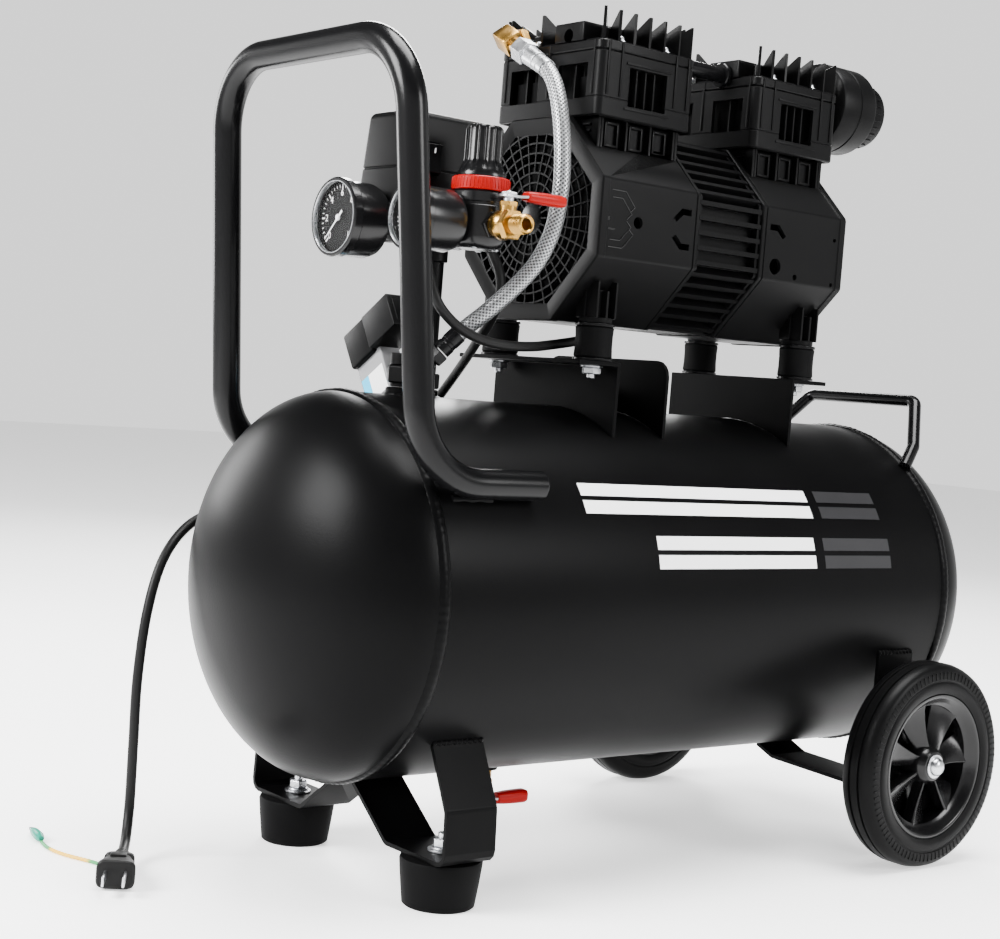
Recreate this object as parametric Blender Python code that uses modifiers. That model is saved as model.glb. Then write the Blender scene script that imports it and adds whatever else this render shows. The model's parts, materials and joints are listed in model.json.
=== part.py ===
"""Twin-cylinder oil-free airbrush compressor on a 30 litre tank.

The tank lies along X with its gauge end at -X, the floor is z = 0, and the origin is on the
floor under the middle of the tank. Sizes are in metres.
"""
import math

import bmesh
import bpy
from mathutils import Matrix, Vector

# ---- driving dimensions -------------------------------------------------------------------
GAP = 0.0003                 # air between pieces that touch
SHEET = 0.003                # bracket steel

TANK_R = 0.130
TANK_Z = 0.1977              # height of the tank's axis
TANK_SEAM = 0.2456           # half of the straight barrel
DOME_DEPTH = 0.0764
TANK_WALL = 0.0025
TANK_TOP = TANK_Z + TANK_R

LEG_X = -0.200
LEG_WIDTH = 0.041
FOOT_Y = 0.087
FOOT_TOP = 0.0317

WHEEL_X = 0.204
WHEEL_R = 0.078
WHEEL_IN = 0.138             # inner and outer faces of the tyre
WHEEL_OUT = 0.168
RIM_R = 0.0552
AXLE_R = 0.005

HANDLE_R = 0.0098
HANDLE_Y = 0.1166
MOTOR_Z = 0.4597             # crankshaft axis
FRONT_MOTOR_X = (-0.0957, -0.0003)
STATOR_X = (0.0, 0.0647)
REAR_MOTOR_X = (0.0650, 0.1570)
SHROUD_WALL = 0.003
THROW = 0.005                # crank throw
ECCENTRIC_R = 0.011
CYLINDER_X = (-0.0442, 0.1115)
CYLINDER_HALF = 0.0455       # half length of a head along X
CYLINDER_WIDE = 0.056
NECK_Z = 0.5083              # where a cylinder leaves its shroud
BORE_R = 0.026
COVER_Z = (0.5310, 0.5770)

FLANGE_TOP = 0.3615          # top of the motor brackets
ISOLATOR_Y = 0.052
ISOLATOR_X = (-0.0725, 0.138)

RISER_X, RISER_Y = -0.168, 0.015
CHECK_X, CHECK_Y = -0.198, 0.0
DRAIN_X = -0.100
MANIFOLD_Z = 0.441
REGULATOR_X, REGULATOR_Y = -0.189, -0.060
SWITCH_X = (-0.230, -0.143)
SWITCH_Y = (-0.030, 0.025)
SWITCH_Z = (0.4535, 0.516)

CORD_R = 0.0035
CORD_ROUTE = (
    (-0.1378, -0.0120, 0.4320), (-0.1290, -0.0115, 0.4175), (-0.1235, -0.0070, 0.4020),
    (-0.1210, 0.0030, 0.3870), (-0.1180, 0.0200, 0.3720), (-0.1120, 0.0420, 0.3560),
    (-0.1080, 0.0660, 0.3370), (-0.1110, 0.0900, 0.3110), (-0.1240, 0.1120, 0.2810),
    (-0.1500, 0.1270, 0.2570), (-0.1850, 0.1350, 0.2430), (-0.2220, 0.1370, 0.2370),
    (-0.2580, 0.1310, 0.2330), (-0.2880, 0.1190, 0.2230), (-0.3110, 0.1080, 0.2010),
    (-0.3240, 0.1010, 0.1660), (-0.3300, 0.0970, 0.1220), (-0.3313, 0.0942, 0.0800),
    (-0.3313, 0.0934, 0.0425), (-0.3336, 0.0898, 0.0265), (-0.3398, 0.0798, 0.0148),
    (-0.3483, 0.0663, 0.0106), (-0.3502, 0.0632, 0.0105),
)
PLUG_BACK = Vector((-0.3509, 0.0621, 0.0105))
PLUG_AIM = Vector((-0.53, -0.848, 0.0)).normalized()
GROUND_R = 0.00125
GROUND_ROUTE = (
    (-0.3702, 0.0474, 0.0060), (-0.3664, 0.0521, 0.0052), (-0.3622, 0.0595, 0.0032),
    (-0.3597, 0.0698, 0.0017), (-0.3612, 0.0809, 0.0014), (-0.3658, 0.0924, 0.0014),
    (-0.3703, 0.1039, 0.0014), (-0.3731, 0.1162, 0.0014), (-0.3735, 0.1286, 0.0014),
    (-0.3715, 0.1406, 0.0014),
)
MOTOR_CABLE_ROUTE = (
    (-0.2050, -0.0220, 0.4526), (-0.2052, -0.0240, 0.4350), (-0.2065, -0.0330, 0.4120),
    (-0.2030, -0.0400, 0.3920), (-0.1909, -0.0410, 0.3800), (-0.1760, -0.0410, 0.3725),
    (-0.1573, -0.0400, 0.3680), (-0.1361, -0.0390, 0.3668), (-0.1130, -0.0350, 0.3680),
    (-0.0920, -0.0280, 0.3705), (-0.0700, -0.0240, 0.3740), (-0.0480, -0.0220, 0.3785),
    (-0.0330, -0.0210, 0.3836),
)
HOSE_R = 0.006
HOSE_ROUTE = (
    (-0.1068, -0.0098, 0.5673), (-0.1078, -0.0210, 0.5610), (-0.1100, -0.0335, 0.5480),
    (-0.1130, -0.0445, 0.5280), (-0.1150, -0.0520, 0.5030), (-0.1170, -0.0560, 0.4760),
    (-0.1195, -0.0540, 0.4480), (-0.1250, -0.0470, 0.4260), (-0.1350, -0.0400, 0.4095),
    (-0.1490, -0.0300, 0.3915), (-0.1640, -0.0185, 0.3740), (-0.1745, -0.0110, 0.3600),
)


# ---- collections, finishes and small geometry helpers --------------------------------------
for old in list(bpy.data.objects):
    bpy.data.objects.remove(old, do_unlink=True)


def collection(name):
    """A collection linked to the scene."""
    made = bpy.data.collections.new(name)
    bpy.context.scene.collection.children.link(made)
    return made


PARTS = collection("airbrush_compressor")
TOOLS = collection("cutters")


def finish(name, colour, roughness, metallic=0.0):
    """A Principled material of one colour."""
    made = bpy.data.materials.new(name)
    made.use_nodes = True
    shader = made.node_tree.nodes["Principled BSDF"]
    shader.inputs["Base Color"].default_value = (*colour, 1.0)
    shader.inputs["Roughness"].default_value = roughness
    shader.inputs["Metallic"].default_value = metallic
    return made


POWDER_COAT = finish("black_powder_coat", (0.012, 0.012, 0.013), 0.32)
GLOSS_TUBE = finish("gloss_black_tube", (0.010, 0.010, 0.011), 0.28)
PLASTIC = finish("black_plastic", (0.018, 0.018, 0.019), 0.45)
RUBBER = finish("black_rubber", (0.015, 0.015, 0.015), 0.70)
ALLOY = finish("cast_alloy", (0.45, 0.46, 0.47), 0.40, 1.0)
BLACK_ALLOY = finish("black_alloy", (0.022, 0.022, 0.023), 0.42, 0.3)
ZINC = finish("zinc_steel", (0.62, 0.63, 0.65), 0.30, 1.0)
BRASS = finish("brass", (0.78, 0.57, 0.25), 0.28, 1.0)
RED = finish("red_plastic", (0.62, 0.02, 0.02), 0.35)
BRAID = finish("steel_braid", (0.60, 0.61, 0.62), 0.35, 0.9)
CABLE = finish("cable_rubber", (0.016, 0.016, 0.016), 0.55)
EARTH = finish("earth_wire", (0.75, 0.60, 0.05), 0.45)
CLIP_GREEN = finish("clip_green", (0.01, 0.30, 0.20), 0.40)
NEEDLE_WHITE = finish("needle_white", (0.85, 0.85, 0.85), 0.45)

ALONG = {"+X": (0.0, math.pi / 2, 0.0), "-X": (0.0, -math.pi / 2, 0.0), "+Z": (0.0, 0.0, 0.0),
         "+Y": (-math.pi / 2, 0.0, 0.0), "-Y": (math.pi / 2, 0.0, 0.0), "-Z": (math.pi, 0.0, 0.0)}


def place(data, name, material, where=(0.0, 0.0, 0.0), turn=(0.0, 0.0, 0.0)):
    """Link an object with one finish to the compressor's collection."""
    made = bpy.data.objects.new(name, data)
    made.data.materials.append(material)
    made.location = where
    made.rotation_euler = turn
    PARTS.objects.link(made)
    return made


def from_bmesh(shape, name, material, where=(0.0, 0.0, 0.0), turn=(0.0, 0.0, 0.0)):
    """Turn a bmesh into a placed object."""
    mesh = bpy.data.meshes.new(name)
    shape.to_mesh(mesh)
    shape.free()
    return place(mesh, name, material, where, turn)


def block(name, low, high, material, origin=(0.0, 0.0, 0.0)):
    """A box between two world corners, with its object's origin at origin."""
    shape = bmesh.new()
    bmesh.ops.create_cube(shape, size=1.0)
    centre = (Vector(low) + Vector(high)) / 2 - Vector(origin)
    size = Vector(high) - Vector(low)
    shape.transform(Matrix.Translation(centre) @ Matrix.Diagonal((*size, 1.0)))
    return from_bmesh(shape, name, material, origin)


def rod(name, start, end, radius, material, sides=12, tip=None, origin=(0.0, 0.0, 0.0)):
    """A round or many-sided bar from start to end, tapering to tip where it is given."""
    start, end = Vector(start), Vector(end)
    aim = end - start
    shape = bmesh.new()
    bmesh.ops.create_cone(shape, cap_ends=True, segments=sides, radius1=radius,
                          radius2=radius if tip is None else tip, depth=aim.length)
    turn = aim.to_track_quat("Z", "Y").to_matrix().to_4x4()
    shape.transform(Matrix.Translation((start + end) / 2 - Vector(origin)) @ turn)
    return from_bmesh(shape, name, material, origin)


def turned(name, profile, material, where, axis, steps=28, ring=False):
    """A lathe shape: profile is (radius, height) pairs down the outer side, top first."""
    mesh = bpy.data.meshes.new(name)
    edges = [(i, i + 1) for i in range(len(profile) - 1)]
    if ring:
        edges.append((len(profile) - 1, 0))
    mesh.from_pydata([(r, 0.0, h) for r, h in profile], edges, [])
    made = place(mesh, name, material, where, ALONG[axis])
    screw = made.modifiers.new("lathe", "SCREW")
    screw.steps = screw.render_steps = steps
    screw.use_merge_vertices = True
    screw.merge_threshold = 0.00001
    return made


def meshed(curve):
    """Swap a curve for the closed mesh that it evaluates to."""
    bpy.context.view_layer.update()
    evaluated = curve.evaluated_get(bpy.context.evaluated_depsgraph_get())
    mesh = bpy.data.meshes.new_from_object(evaluated)
    shape = bmesh.new()
    shape.from_mesh(mesh)
    bmesh.ops.remove_doubles(shape, verts=shape.verts, dist=0.00001)
    bmesh.ops.recalc_face_normals(shape, faces=shape.faces)
    shape.to_mesh(mesh)
    shape.free()
    name, matrix, material = curve.name, curve.matrix_world.copy(), curve.data.materials[0]
    bpy.data.objects.remove(curve, do_unlink=True)
    made = bpy.data.objects.new(name, mesh)
    if not mesh.materials:
        mesh.materials.append(material)
    made.matrix_world = matrix
    PARTS.objects.link(made)
    return made


def spline_object(name, points, material, closed=False):
    """A curve object with one straight-sided spline through points."""
    data = bpy.data.curves.new(name, "CURVE")
    data.dimensions = "3D"
    line = data.splines.new("POLY")
    line.points.add(len(points) - 1)
    for knot, spot in zip(line.points, points):
        knot.co = (*Vector(spot).to_3d(), 1.0)
    line.use_cyclic_u = closed
    return place(data, name, material)


def tube(name, points, radius, material, resolution=4):
    """A round tube along points, with filled ends."""
    made = spline_object(name, points, material)
    made.data.bevel_depth = radius
    made.data.bevel_resolution = resolution
    made.data.use_fill_caps = True
    return meshed(made)


def plate(name, outline, span, material, plane="YZ"):
    """A flat plate: an outline in a plane, from span[0] to span[1] along the third axis."""
    made = spline_object(name, outline, material, closed=True)
    made.data.dimensions = "2D"
    made.data.fill_mode = "BOTH"
    made.data.extrude = abs(span[1] - span[0]) / 2
    middle = (span[0] + span[1]) / 2
    turns = {"YZ": ((math.pi / 2, 0.0, math.pi / 2), (middle, 0.0, 0.0)),
             "XZ": ((math.pi / 2, 0.0, 0.0), (0.0, middle, 0.0)),
             "XY": ((0.0, 0.0, 0.0), (0.0, 0.0, middle))}
    made.rotation_euler, made.location = turns[plane]
    return meshed(made)


def combine(target, tool, operation):
    """Join, cut or crop target with tool, which moves to the cutters' collection."""
    step = target.modifiers.new(tool.name, "BOOLEAN")
    step.operation = operation
    step.solver = "EXACT"
    step.object = tool
    if tool.name not in TOOLS.objects:
        PARTS.objects.unlink(tool)
        TOOLS.objects.link(tool)
        tool.hide_render = True
        tool.display_type = "WIRE"
    return target


def join(target, *tools):
    """Union target with each tool."""
    for tool in tools:
        combine(target, tool, "UNION")
    return target


def cut(target, *tools):
    """Take each tool away from target."""
    for tool in tools:
        combine(target, tool, "DIFFERENCE")
    return target


def rounded(points, radius, count=4):
    """Replace the inner corners of an open line of points by arcs."""
    points = [Vector(p) for p in points]
    line = [points[0]]
    for before, corner, after in zip(points, points[1:], points[2:]):
        first = (before - corner).normalized()
        second = (after - corner).normalized()
        half = first.angle(second) / 2
        reach = min(radius / math.tan(half), 0.48 * (before - corner).length,
                    0.48 * (after - corner).length)
        start, end = corner + first * reach, corner + second * reach
        centre = corner + (first + second).normalized() * (reach / math.cos(half))
        size = (start - centre).length
        for i in range(count + 1):
            along = (start - centre).slerp(end - centre, i / count).normalized()
            line.append(centre + along * size)
    line.append(points[-1])
    return line


def smooth(route, spacing):
    """Even points along a smooth curve through a route."""
    knots = [Vector(p) for p in route]
    knots = [2 * knots[0] - knots[1]] + knots + [2 * knots[-1] - knots[-2]]
    fine = []
    for a, b, c, d in zip(knots, knots[1:], knots[2:], knots[3:]):
        for i in range(24):
            t = i / 24
            fine.append(0.5 * (2 * b + (c - a) * t + (2 * a - 5 * b + 4 * c - d) * t * t
                               + (3 * b - a - 3 * c + d) * t ** 3))
    fine.append(knots[-2])
    lengths = [0.0]
    for p, q in zip(fine, fine[1:]):
        lengths.append(lengths[-1] + (q - p).length)
    count = max(2, round(lengths[-1] / spacing))
    even = []
    at = 0
    for i in range(count + 1):
        goal = lengths[-1] * i / count
        while at < len(fine) - 2 and lengths[at + 1] < goal:
            at += 1
        share = (goal - lengths[at]) / (lengths[at + 1] - lengths[at])
        even.append(fine[at].lerp(fine[at + 1], share))
    return even


def band(line, thickness):
    """The outline of a bent strip: a flat line of points, thickened evenly to both sides."""
    line = [Vector(p).to_2d() for p in line]
    left, right = [], []
    for i, spot in enumerate(line):
        before = line[max(i - 1, 0)]
        after = line[min(i + 1, len(line) - 1)]
        along = (after - before).normalized()
        side = Vector((-along.y, along.x)) * thickness / 2
        left.append(spot + side)
        right.append(spot - side)
    return left + right[::-1]


TANK_CLEAR = rod("tank_clearance", (-0.30, 0, TANK_Z), (0.30, 0, TANK_Z), TANK_R + GAP,
                 POWDER_COAT, sides=64)


# ---- tank, legs, wheels and handles --------------------------------------------------------
def air_tank():
    """Welded tank with threaded bosses for the riser, the check valve and the drain."""
    dome = [(TANK_R * math.sin(math.radians(a)), TANK_SEAM + DOME_DEPTH * math.cos(math.radians(a)))
            for a in range(0, 91, 18)]
    profile = dome + [(r, -x) for r, x in reversed(dome)]
    profile[0], profile[-1] = (0.0, profile[0][1]), (0.0, profile[-1][1])
    tank = turned("air_tank", profile, POWDER_COAT, (0, 0, TANK_Z), "+X", steps=28)
    wall = tank.modifiers.new("wall", "SOLIDIFY")
    wall.thickness = TANK_WALL
    wall.offset = -1.0
    top, low = TANK_TOP, TANK_Z - TANK_R
    for name, x, y, z0, z1 in (("riser", RISER_X, RISER_Y, top - 0.004, top + 0.005),
                               ("check", CHECK_X, CHECK_Y, top - 0.002, top + 0.005),
                               ("drain", DRAIN_X, 0.0, low - 0.004, low + 0.002)):
        join(tank, rod(f"{name}_boss", (x, y, z0), (x, y, z1), 0.0105, POWDER_COAT, sides=12))
        cut(tank, rod(f"{name}_port", (x, y, z0 - 0.02), (x, y, z1 + 0.02), 0.0045, POWDER_COAT,
                      sides=8))


def front_legs():
    """Two bent strap legs, each on a rubber foot."""
    for side, word in ((-1, "right"), (1, "left")):
        line = ((side * 0.0938, 0.1075), (side * 0.1140, 0.0680), (side * 0.1155, 0.0335),
                (side * 0.0520, 0.0335), (side * 0.0080, 0.0660))
        span = (LEG_X - LEG_WIDTH / 2, LEG_X + LEG_WIDTH / 2)
        leg = plate(f"front_leg_{word}", band(rounded(line, 0.007, 3), SHEET), span, POWDER_COAT)
        cut(leg, TANK_CLEAR)
        cut(leg, rod(f"leg_hole_{word}", (LEG_X, side * FOOT_Y, 0.028),
                     (LEG_X, side * FOOT_Y, 0.040), 0.0045, ZINC))
        profile = [(0.0, 0.0425), (0.0075, 0.0425), (0.0075, 0.0355), (0.0036, 0.0355),
                   (0.0036, FOOT_TOP), (0.0275, FOOT_TOP), (0.0240, 0.0), (0.0080, 0.0),
                   (0.0080, 0.0080), (0.0, 0.0080)]
        turned(f"foot_{word}", profile, RUBBER, (LEG_X, side * FOOT_Y, 0), "+Z", steps=16)


def wheels():
    """Two wheels on bolts through their strap brackets."""
    for side, word in ((-1, "right"), (1, "left")):
        out = "-Y" if side < 0 else "+Y"
        line = ((side * 0.0100, 0.0655), (side * 0.0270, 0.0585), (side * 0.1250, 0.0545),
                (side * 0.1250, 0.1580))
        bracket = plate(f"wheel_bracket_{word}", band(rounded(line, 0.006, 3), SHEET),
                        (WHEEL_X - 0.027, WHEEL_X + 0.013), POWDER_COAT)
        cut(bracket, TANK_CLEAR)
        cut(bracket, rod(f"axle_hole_{word}", (WHEEL_X, side * 0.118, WHEEL_R),
                         (WHEEL_X, side * 0.132, WHEEL_R), AXLE_R + GAP, ZINC))
        centre = (WHEEL_X, 0.0, WHEEL_R)
        bolt = [(0.0, 0.1725), (0.0060, 0.1705), (0.0072, 0.1665), (AXLE_R, 0.1665),
                (AXLE_R, 0.1345), (0.0080, 0.1345), (0.0080, 0.1268), (AXLE_R, 0.1268),
                (AXLE_R, 0.1232), (0.0090, 0.1232), (0.0090, 0.1150), (0.0, 0.1150)]
        turned(f"axle_bolt_{word}", bolt, ZINC, centre, out, steps=12)
        spin = (WHEEL_X, side * (WHEEL_IN + WHEEL_OUT) / 2, WHEEL_R)
        half = (WHEEL_OUT - WHEEL_IN) / 2
        tread = [(RIM_R + GAP, half - 0.001), (0.0620, half), (0.0735, half - 0.001),
                 (0.0770, half - 0.005), (WHEEL_R, half - 0.009), (WHEEL_R, -half + 0.009),
                 (0.0770, -half + 0.005), (0.0735, -half + 0.001), (0.0620, -half),
                 (RIM_R + GAP, -half + 0.001)]
        turned(f"tyre_{word}", tread, RUBBER, spin, out, steps=24, ring=True)
        lip = [(0.0460, 0.0135), (RIM_R, 0.0135), (RIM_R, -0.0135), (0.0460, -0.0135)]
        rim = turned(f"rim_{word}", lip, PLASTIC, spin, out, steps=24, ring=True)
        hub = [(AXLE_R + GAP, 0.0130), (0.0145, 0.0130), (0.0150, -0.0180),
               (AXLE_R + GAP, -0.0180)]
        spokes = [turned(f"hub_{word}", hub, PLASTIC, spin, out, steps=12, ring=True)]
        for i in range(7):
            blade = block(f"spoke_{word}_{i}", (-0.0045, -0.004, 0.0125), (0.0045, 0.004, 0.0475),
                          PLASTIC)
            blade.location = spin
            blade.rotation_euler = (0.0, math.radians(i * 360 / 7 + 12), 0.0)
            spokes.append(blade)
        join(rim, *spokes)


def handles():
    """The front carrying loop and the small rear lifting rod."""
    side_line = [(-0.166, HANDLE_Y, 0.2768), (-0.2617, HANDLE_Y, 0.2768)]
    corner = (-0.2880, 0.1075, 0.5470)
    line = side_line + [corner]
    line += [(x, -y, z) for x, y, z in reversed(line)]
    tube("carry_handle", rounded(line, 0.050, 5), HANDLE_R, GLOSS_TUBE, resolution=2)
    foot = [(0.2420, 0.0830, 0.3000), (0.2560, 0.0790, 0.3160), (0.2825, 0.0560, 0.3530)]
    line = foot + [(x, -y, z) for x, y, z in reversed(foot)]
    rail = tube("rear_handle", rounded(line, 0.009, 2), 0.005, GLOSS_TUBE, resolution=2)
    cut(rail, TANK_CLEAR)


# ---- motor mounts and the motor ------------------------------------------------------------
def motor_brackets():
    """Folded steel saddles welded across the tank, and the rubber isolators on them."""
    low = 0.285
    for name, x, away, wide in (("front_motor_bracket", -0.061, -1, 0.068),
                                ("rear_motor_bracket", 0.122, 1, 0.066)):
        half = SHEET / 2
        saddle = block(name, (x - half, -wide, low), (x + half, wide, FLANGE_TOP), POWDER_COAT)
        edge = x - away * half
        reach = x + away * 0.037
        flange = block(f"{name}_flange", (min(edge, reach), -wide, FLANGE_TOP - SHEET),
                       (max(edge, reach), wide, FLANGE_TOP), POWDER_COAT)
        join(saddle, flange)
        if away < 0:
            outline = rounded([(0.0, 0.366), (0.066, 0.366), (0.066, low), (0.0, low)], 0.012)
            outline = outline + [(-y, z) for y, z in reversed([tuple(p[:2]) for p in outline])]
            join(saddle, plate("front_saddle_back", outline[1:-1], (-0.0125, -0.0095), POWDER_COAT))
            join(saddle, block("saddle_web", (x, -half, low), (-0.0110, half, 0.345), POWDER_COAT))
        cut(saddle, TANK_CLEAR)
        at = ISOLATOR_X[0 if away < 0 else 1]
        for side in (-1, 1):
            cut(saddle, rod(f"{name}_hole_{side}", (at, side * ISOLATOR_Y, 0.350),
                            (at, side * ISOLATOR_Y, 0.370), 0.0035, ZINC))
    for at, end in zip(ISOLATOR_X, ("front", "rear")):
        for side, word in ((-1, "right"), (1, "left")):
            top, low = 0.3880, FLANGE_TOP + GAP
            nut = FLANGE_TOP - SHEET - GAP
            profile = [(0.0, top), (0.0120, top), (0.0140, top - 0.002), (0.0140, low + 0.002),
                       (0.0120, low), (0.0030, low), (0.0030, nut), (0.0065, nut),
                       (0.0065, nut - 0.0055), (0.0030, nut - 0.0055), (0.0030, nut - 0.0090),
                       (0.0, nut - 0.0090)]
            turned(f"isolator_{end}_{word}", profile, RUBBER, (at, side * ISOLATOR_Y, 0), "+Z", 12)


def octagon(grow=0.0):
    """The shroud's section in Y and Z, grown outward by grow."""
    flat, wide, low, high = 0.030, 0.074 + grow, 0.388 - grow, 0.5305 + grow
    shift = grow * math.tan(math.radians(22.5))
    ring = [(flat + shift, low), (wide, 0.433 - shift), (wide, 0.4866 + shift), (flat + shift, high)]
    return ring + [(-y, z) for y, z in reversed(ring)]


def shroud(name, x_open, x_face, at):
    """An octagonal fan shroud with a spoked grille, feet and a seat for its cylinder."""
    away = 1 if x_face > x_open else -1
    inner = x_face - away * SHROUD_WALL
    shell = plate(name, octagon(), sorted((x_open, x_face)), PLASTIC)
    foot_x = ISOLATOR_X[0 if away < 0 else 1]
    for side in (-1, 1):
        join(shell, rod(f"{name}_foot_{side}", (foot_x, side * ISOLATOR_Y, 0.3883),
                        (foot_x, side * ISOLATOR_Y, 0.413), 0.0115, PLASTIC, sides=8))
    cut(shell, plate(f"{name}_inside", octagon(-SHROUD_WALL), sorted((x_open - away * 0.01, inner)),
                     PLASTIC))
    cut(shell, plate(f"{name}_window", octagon(-0.0125), sorted((inner - away * 0.01,
                                                                x_face + away * 0.01)), PLASTIC))
    mid = (x_face + inner) / 2
    thin = 0.001
    for i in range(4):
        bar = block(f"{name}_bar_{i}", (-thin, -0.0012, -0.0685), (thin, 0.0012, 0.0685), PLASTIC)
        bar.location = (mid, 0.0, MOTOR_Z)
        bar.rotation_euler = (math.radians(i * 45 + 22.5), 0.0, 0.0)
        join(shell, bar)
    for radius in (0.018, 0.038):
        loop = [(radius - 0.0012, thin * 0.9), (radius + 0.0012, thin * 0.9),
                (radius + 0.0012, -thin * 0.9), (radius - 0.0012, -thin * 0.9)]
        join(shell, turned(f"{name}_ring_{radius}", loop, PLASTIC, (mid, 0, MOTOR_Z), "+X",
                           steps=16, ring=True))
    cut(shell, block(f"{name}_seat", (at - 0.0393, -0.0503, NECK_Z - GAP),
                     (at + 0.0393, 0.0503, 0.56), PLASTIC))


def stator():
    """Finned motor housing between the shrouds."""
    outline = []
    count = 16
    for i in range(count):
        for share, radius in ((0.0, 0.0680), (0.42, 0.0680), (0.5, 0.0625), (0.92, 0.0625)):
            turn = 2 * math.pi * (i + share) / count
            outline.append((radius * math.cos(turn), MOTOR_Z + radius * math.sin(turn)))
    body = plate("stator_housing", outline, STATOR_X, BLACK_ALLOY)
    cut(body, rod("stator_bore", (-0.01, 0, MOTOR_Z), (0.08, 0, MOTOR_Z), 0.0290, ALLOY, sides=20))


def shaft_and_fans():
    """Crankshaft with its rotor and eccentrics, and a cooling fan at each end."""
    axis = (0.0, 0.0, MOTOR_Z)
    shaft = rod("rotor_shaft", (-0.0900, 0, MOTOR_Z), (0.1520, 0, MOTOR_Z), 0.0050, ZINC,
                sides=12, origin=axis)
    join(shaft, rod("rotor_core", (0.004, 0, MOTOR_Z), (0.061, 0, MOTOR_Z), 0.0280, ZINC, sides=20))
    for x, lift in zip(CYLINDER_X, (THROW, -THROW)):
        join(shaft, rod(f"eccentric_{x}", (x - 0.006, lift, MOTOR_Z), (x + 0.006, lift, MOTOR_Z),
                        ECCENTRIC_R, ZINC, sides=16))
    for name, x in (("front_fan", -0.0850), ("rear_fan", 0.1465)):
        ring = [(0.0053, 0.0045), (0.0130, 0.0045), (0.0130, -0.0045), (0.0053, -0.0045)]
        fan = turned(name, ring, PLASTIC, (x, 0, MOTOR_Z), "+X", steps=12, ring=True)
        for i in range(7):
            shape = bmesh.new()
            bmesh.ops.create_cube(shape, size=1.0)
            shape.transform(Matrix.Diagonal((0.0075, 0.0016, 0.0330, 1.0)))
            shape.transform(Matrix.Rotation(math.radians(35), 4, "Z"))
            shape.transform(Matrix.Translation((0.0, 0.0, 0.0285)))
            shape.transform(Matrix.Rotation(2 * math.pi * i / 7, 4, "X"))
            join(fan, from_bmesh(shape, f"{name}_blade_{i}", PLASTIC, (x, 0, MOTOR_Z)))


def pump(end, at):
    """One cylinder with its windowed cover, finned head and wobble piston."""
    low, high = at - CYLINDER_HALF, at + CYLINDER_HALF
    sleeve = [(BORE_R, COVER_Z[1] - GAP), (0.0300, COVER_Z[1] - GAP), (0.0300, 0.4960),
              (BORE_R, 0.4960)]
    barrel = turned(f"{end}_cylinder", sleeve, ALLOY, (at, 0, 0), "+Z", steps=20, ring=True)
    neck = block(f"{end}_neck", (at - 0.039, -0.050, NECK_Z), (at + 0.039, 0.050, 0.5300), ALLOY)
    cut(neck, rod(f"{end}_neck_bore", (at, 0, 0.49), (at, 0, 0.55), 0.0280, ALLOY, sides=20))
    join(barrel, neck)
    cover = block(f"{end}_cylinder_cover", (low, -CYLINDER_WIDE, COVER_Z[0]),
                  (high, CYLINDER_WIDE, COVER_Z[1] - GAP), PLASTIC)
    cut(cover, block(f"{end}_cover_inside", (low + 0.003, -CYLINDER_WIDE + 0.003, 0.52),
                     (high - 0.003, CYLINDER_WIDE - 0.003, 0.59), PLASTIC))
    for i in range(3):
        x = at + (i - 1) * 0.028
        cut(cover, block(f"{end}_window_{i}", (x - 0.010, -0.07, 0.5400), (x + 0.010, 0.07, 0.5600),
                         PLASTIC))
    for i in range(2):
        y = (i - 0.5) * 0.052
        cut(cover, block(f"{end}_end_window_{i}", (low - 0.02, y - 0.018, 0.5400),
                         (high + 0.02, y + 0.018, 0.5600), PLASTIC))
    head = block(f"{end}_cylinder_head", (low, -CYLINDER_WIDE, COVER_Z[1]),
                 (high, CYLINDER_WIDE, 0.5850), BLACK_ALLOY)
    join(head, block(f"{end}_head_chest", (low + 0.0002, -0.034, 0.580),
                     (high - 0.0002, 0.040, 0.5960), BLACK_ALLOY))
    for i in range(5):
        lean = (i - 2) * 12
        for side in (-1, 1):
            fin = block(f"{end}_fin_{i}_{side}", (-0.0009, 0.0, -0.004), (0.0009, 0.028, 0.0210),
                        BLACK_ALLOY)
            fin.location = (at + (i - 2) * 0.0150, side * 0.026, 0.5850)
            fin.rotation_euler = (0.0, 0.0, math.radians(lean if side < 0 else -lean))
            if side < 0:
                fin.rotation_euler = (0.0, 0.0, math.radians(180 + lean))
            join(head, fin)
    pin = (at, 0.0, MOTOR_Z)
    eye_in = ECCENTRIC_R + 2 * THROW + 0.0008
    eye = [(eye_in, 0.0040), (eye_in + 0.004, 0.0040), (eye_in + 0.004, -0.0040), (eye_in, -0.0040)]
    piston = turned(f"{end}_piston", eye, ALLOY, pin, "+X", steps=20, ring=True)
    join(piston, block(f"{end}_rod", (at - 0.0038, -0.006, MOTOR_Z + eye_in + 0.002),
                       (at + 0.0038, 0.006, 0.565), ALLOY))
    join(piston, rod(f"{end}_crown", (at, 0, 0.5620), (at, 0, 0.5700), BORE_R - 0.0005, ALLOY,
                     sides=20))


def intake_and_crossover():
    """Air filter on the rear head, and the tube that joins the two heads."""
    front_end = CYLINDER_X[0] + CYLINDER_HALF
    rear_start = CYLINDER_X[1] - CYLINDER_HALF
    rod("crossover_tube", (front_end + GAP, -0.020, 0.5860), (rear_start - GAP, -0.020, 0.5860),
        0.0060, BLACK_ALLOY)
    start = CYLINDER_X[1] + CYLINDER_HALF + GAP
    profile = [(0.0, 0.2250), (0.0240, 0.2250), (0.0260, 0.2230), (0.0260, 0.2060),
               (0.0320, 0.2050), (0.0338, 0.2030), (0.0338, 0.1680), (0.0320, 0.1650),
               (0.0095, 0.1650), (0.0095, start), (0.0, start)]
    turned("intake_filter", profile, PLASTIC, (0, -0.022, 0.5790), "+X", steps=20)


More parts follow.
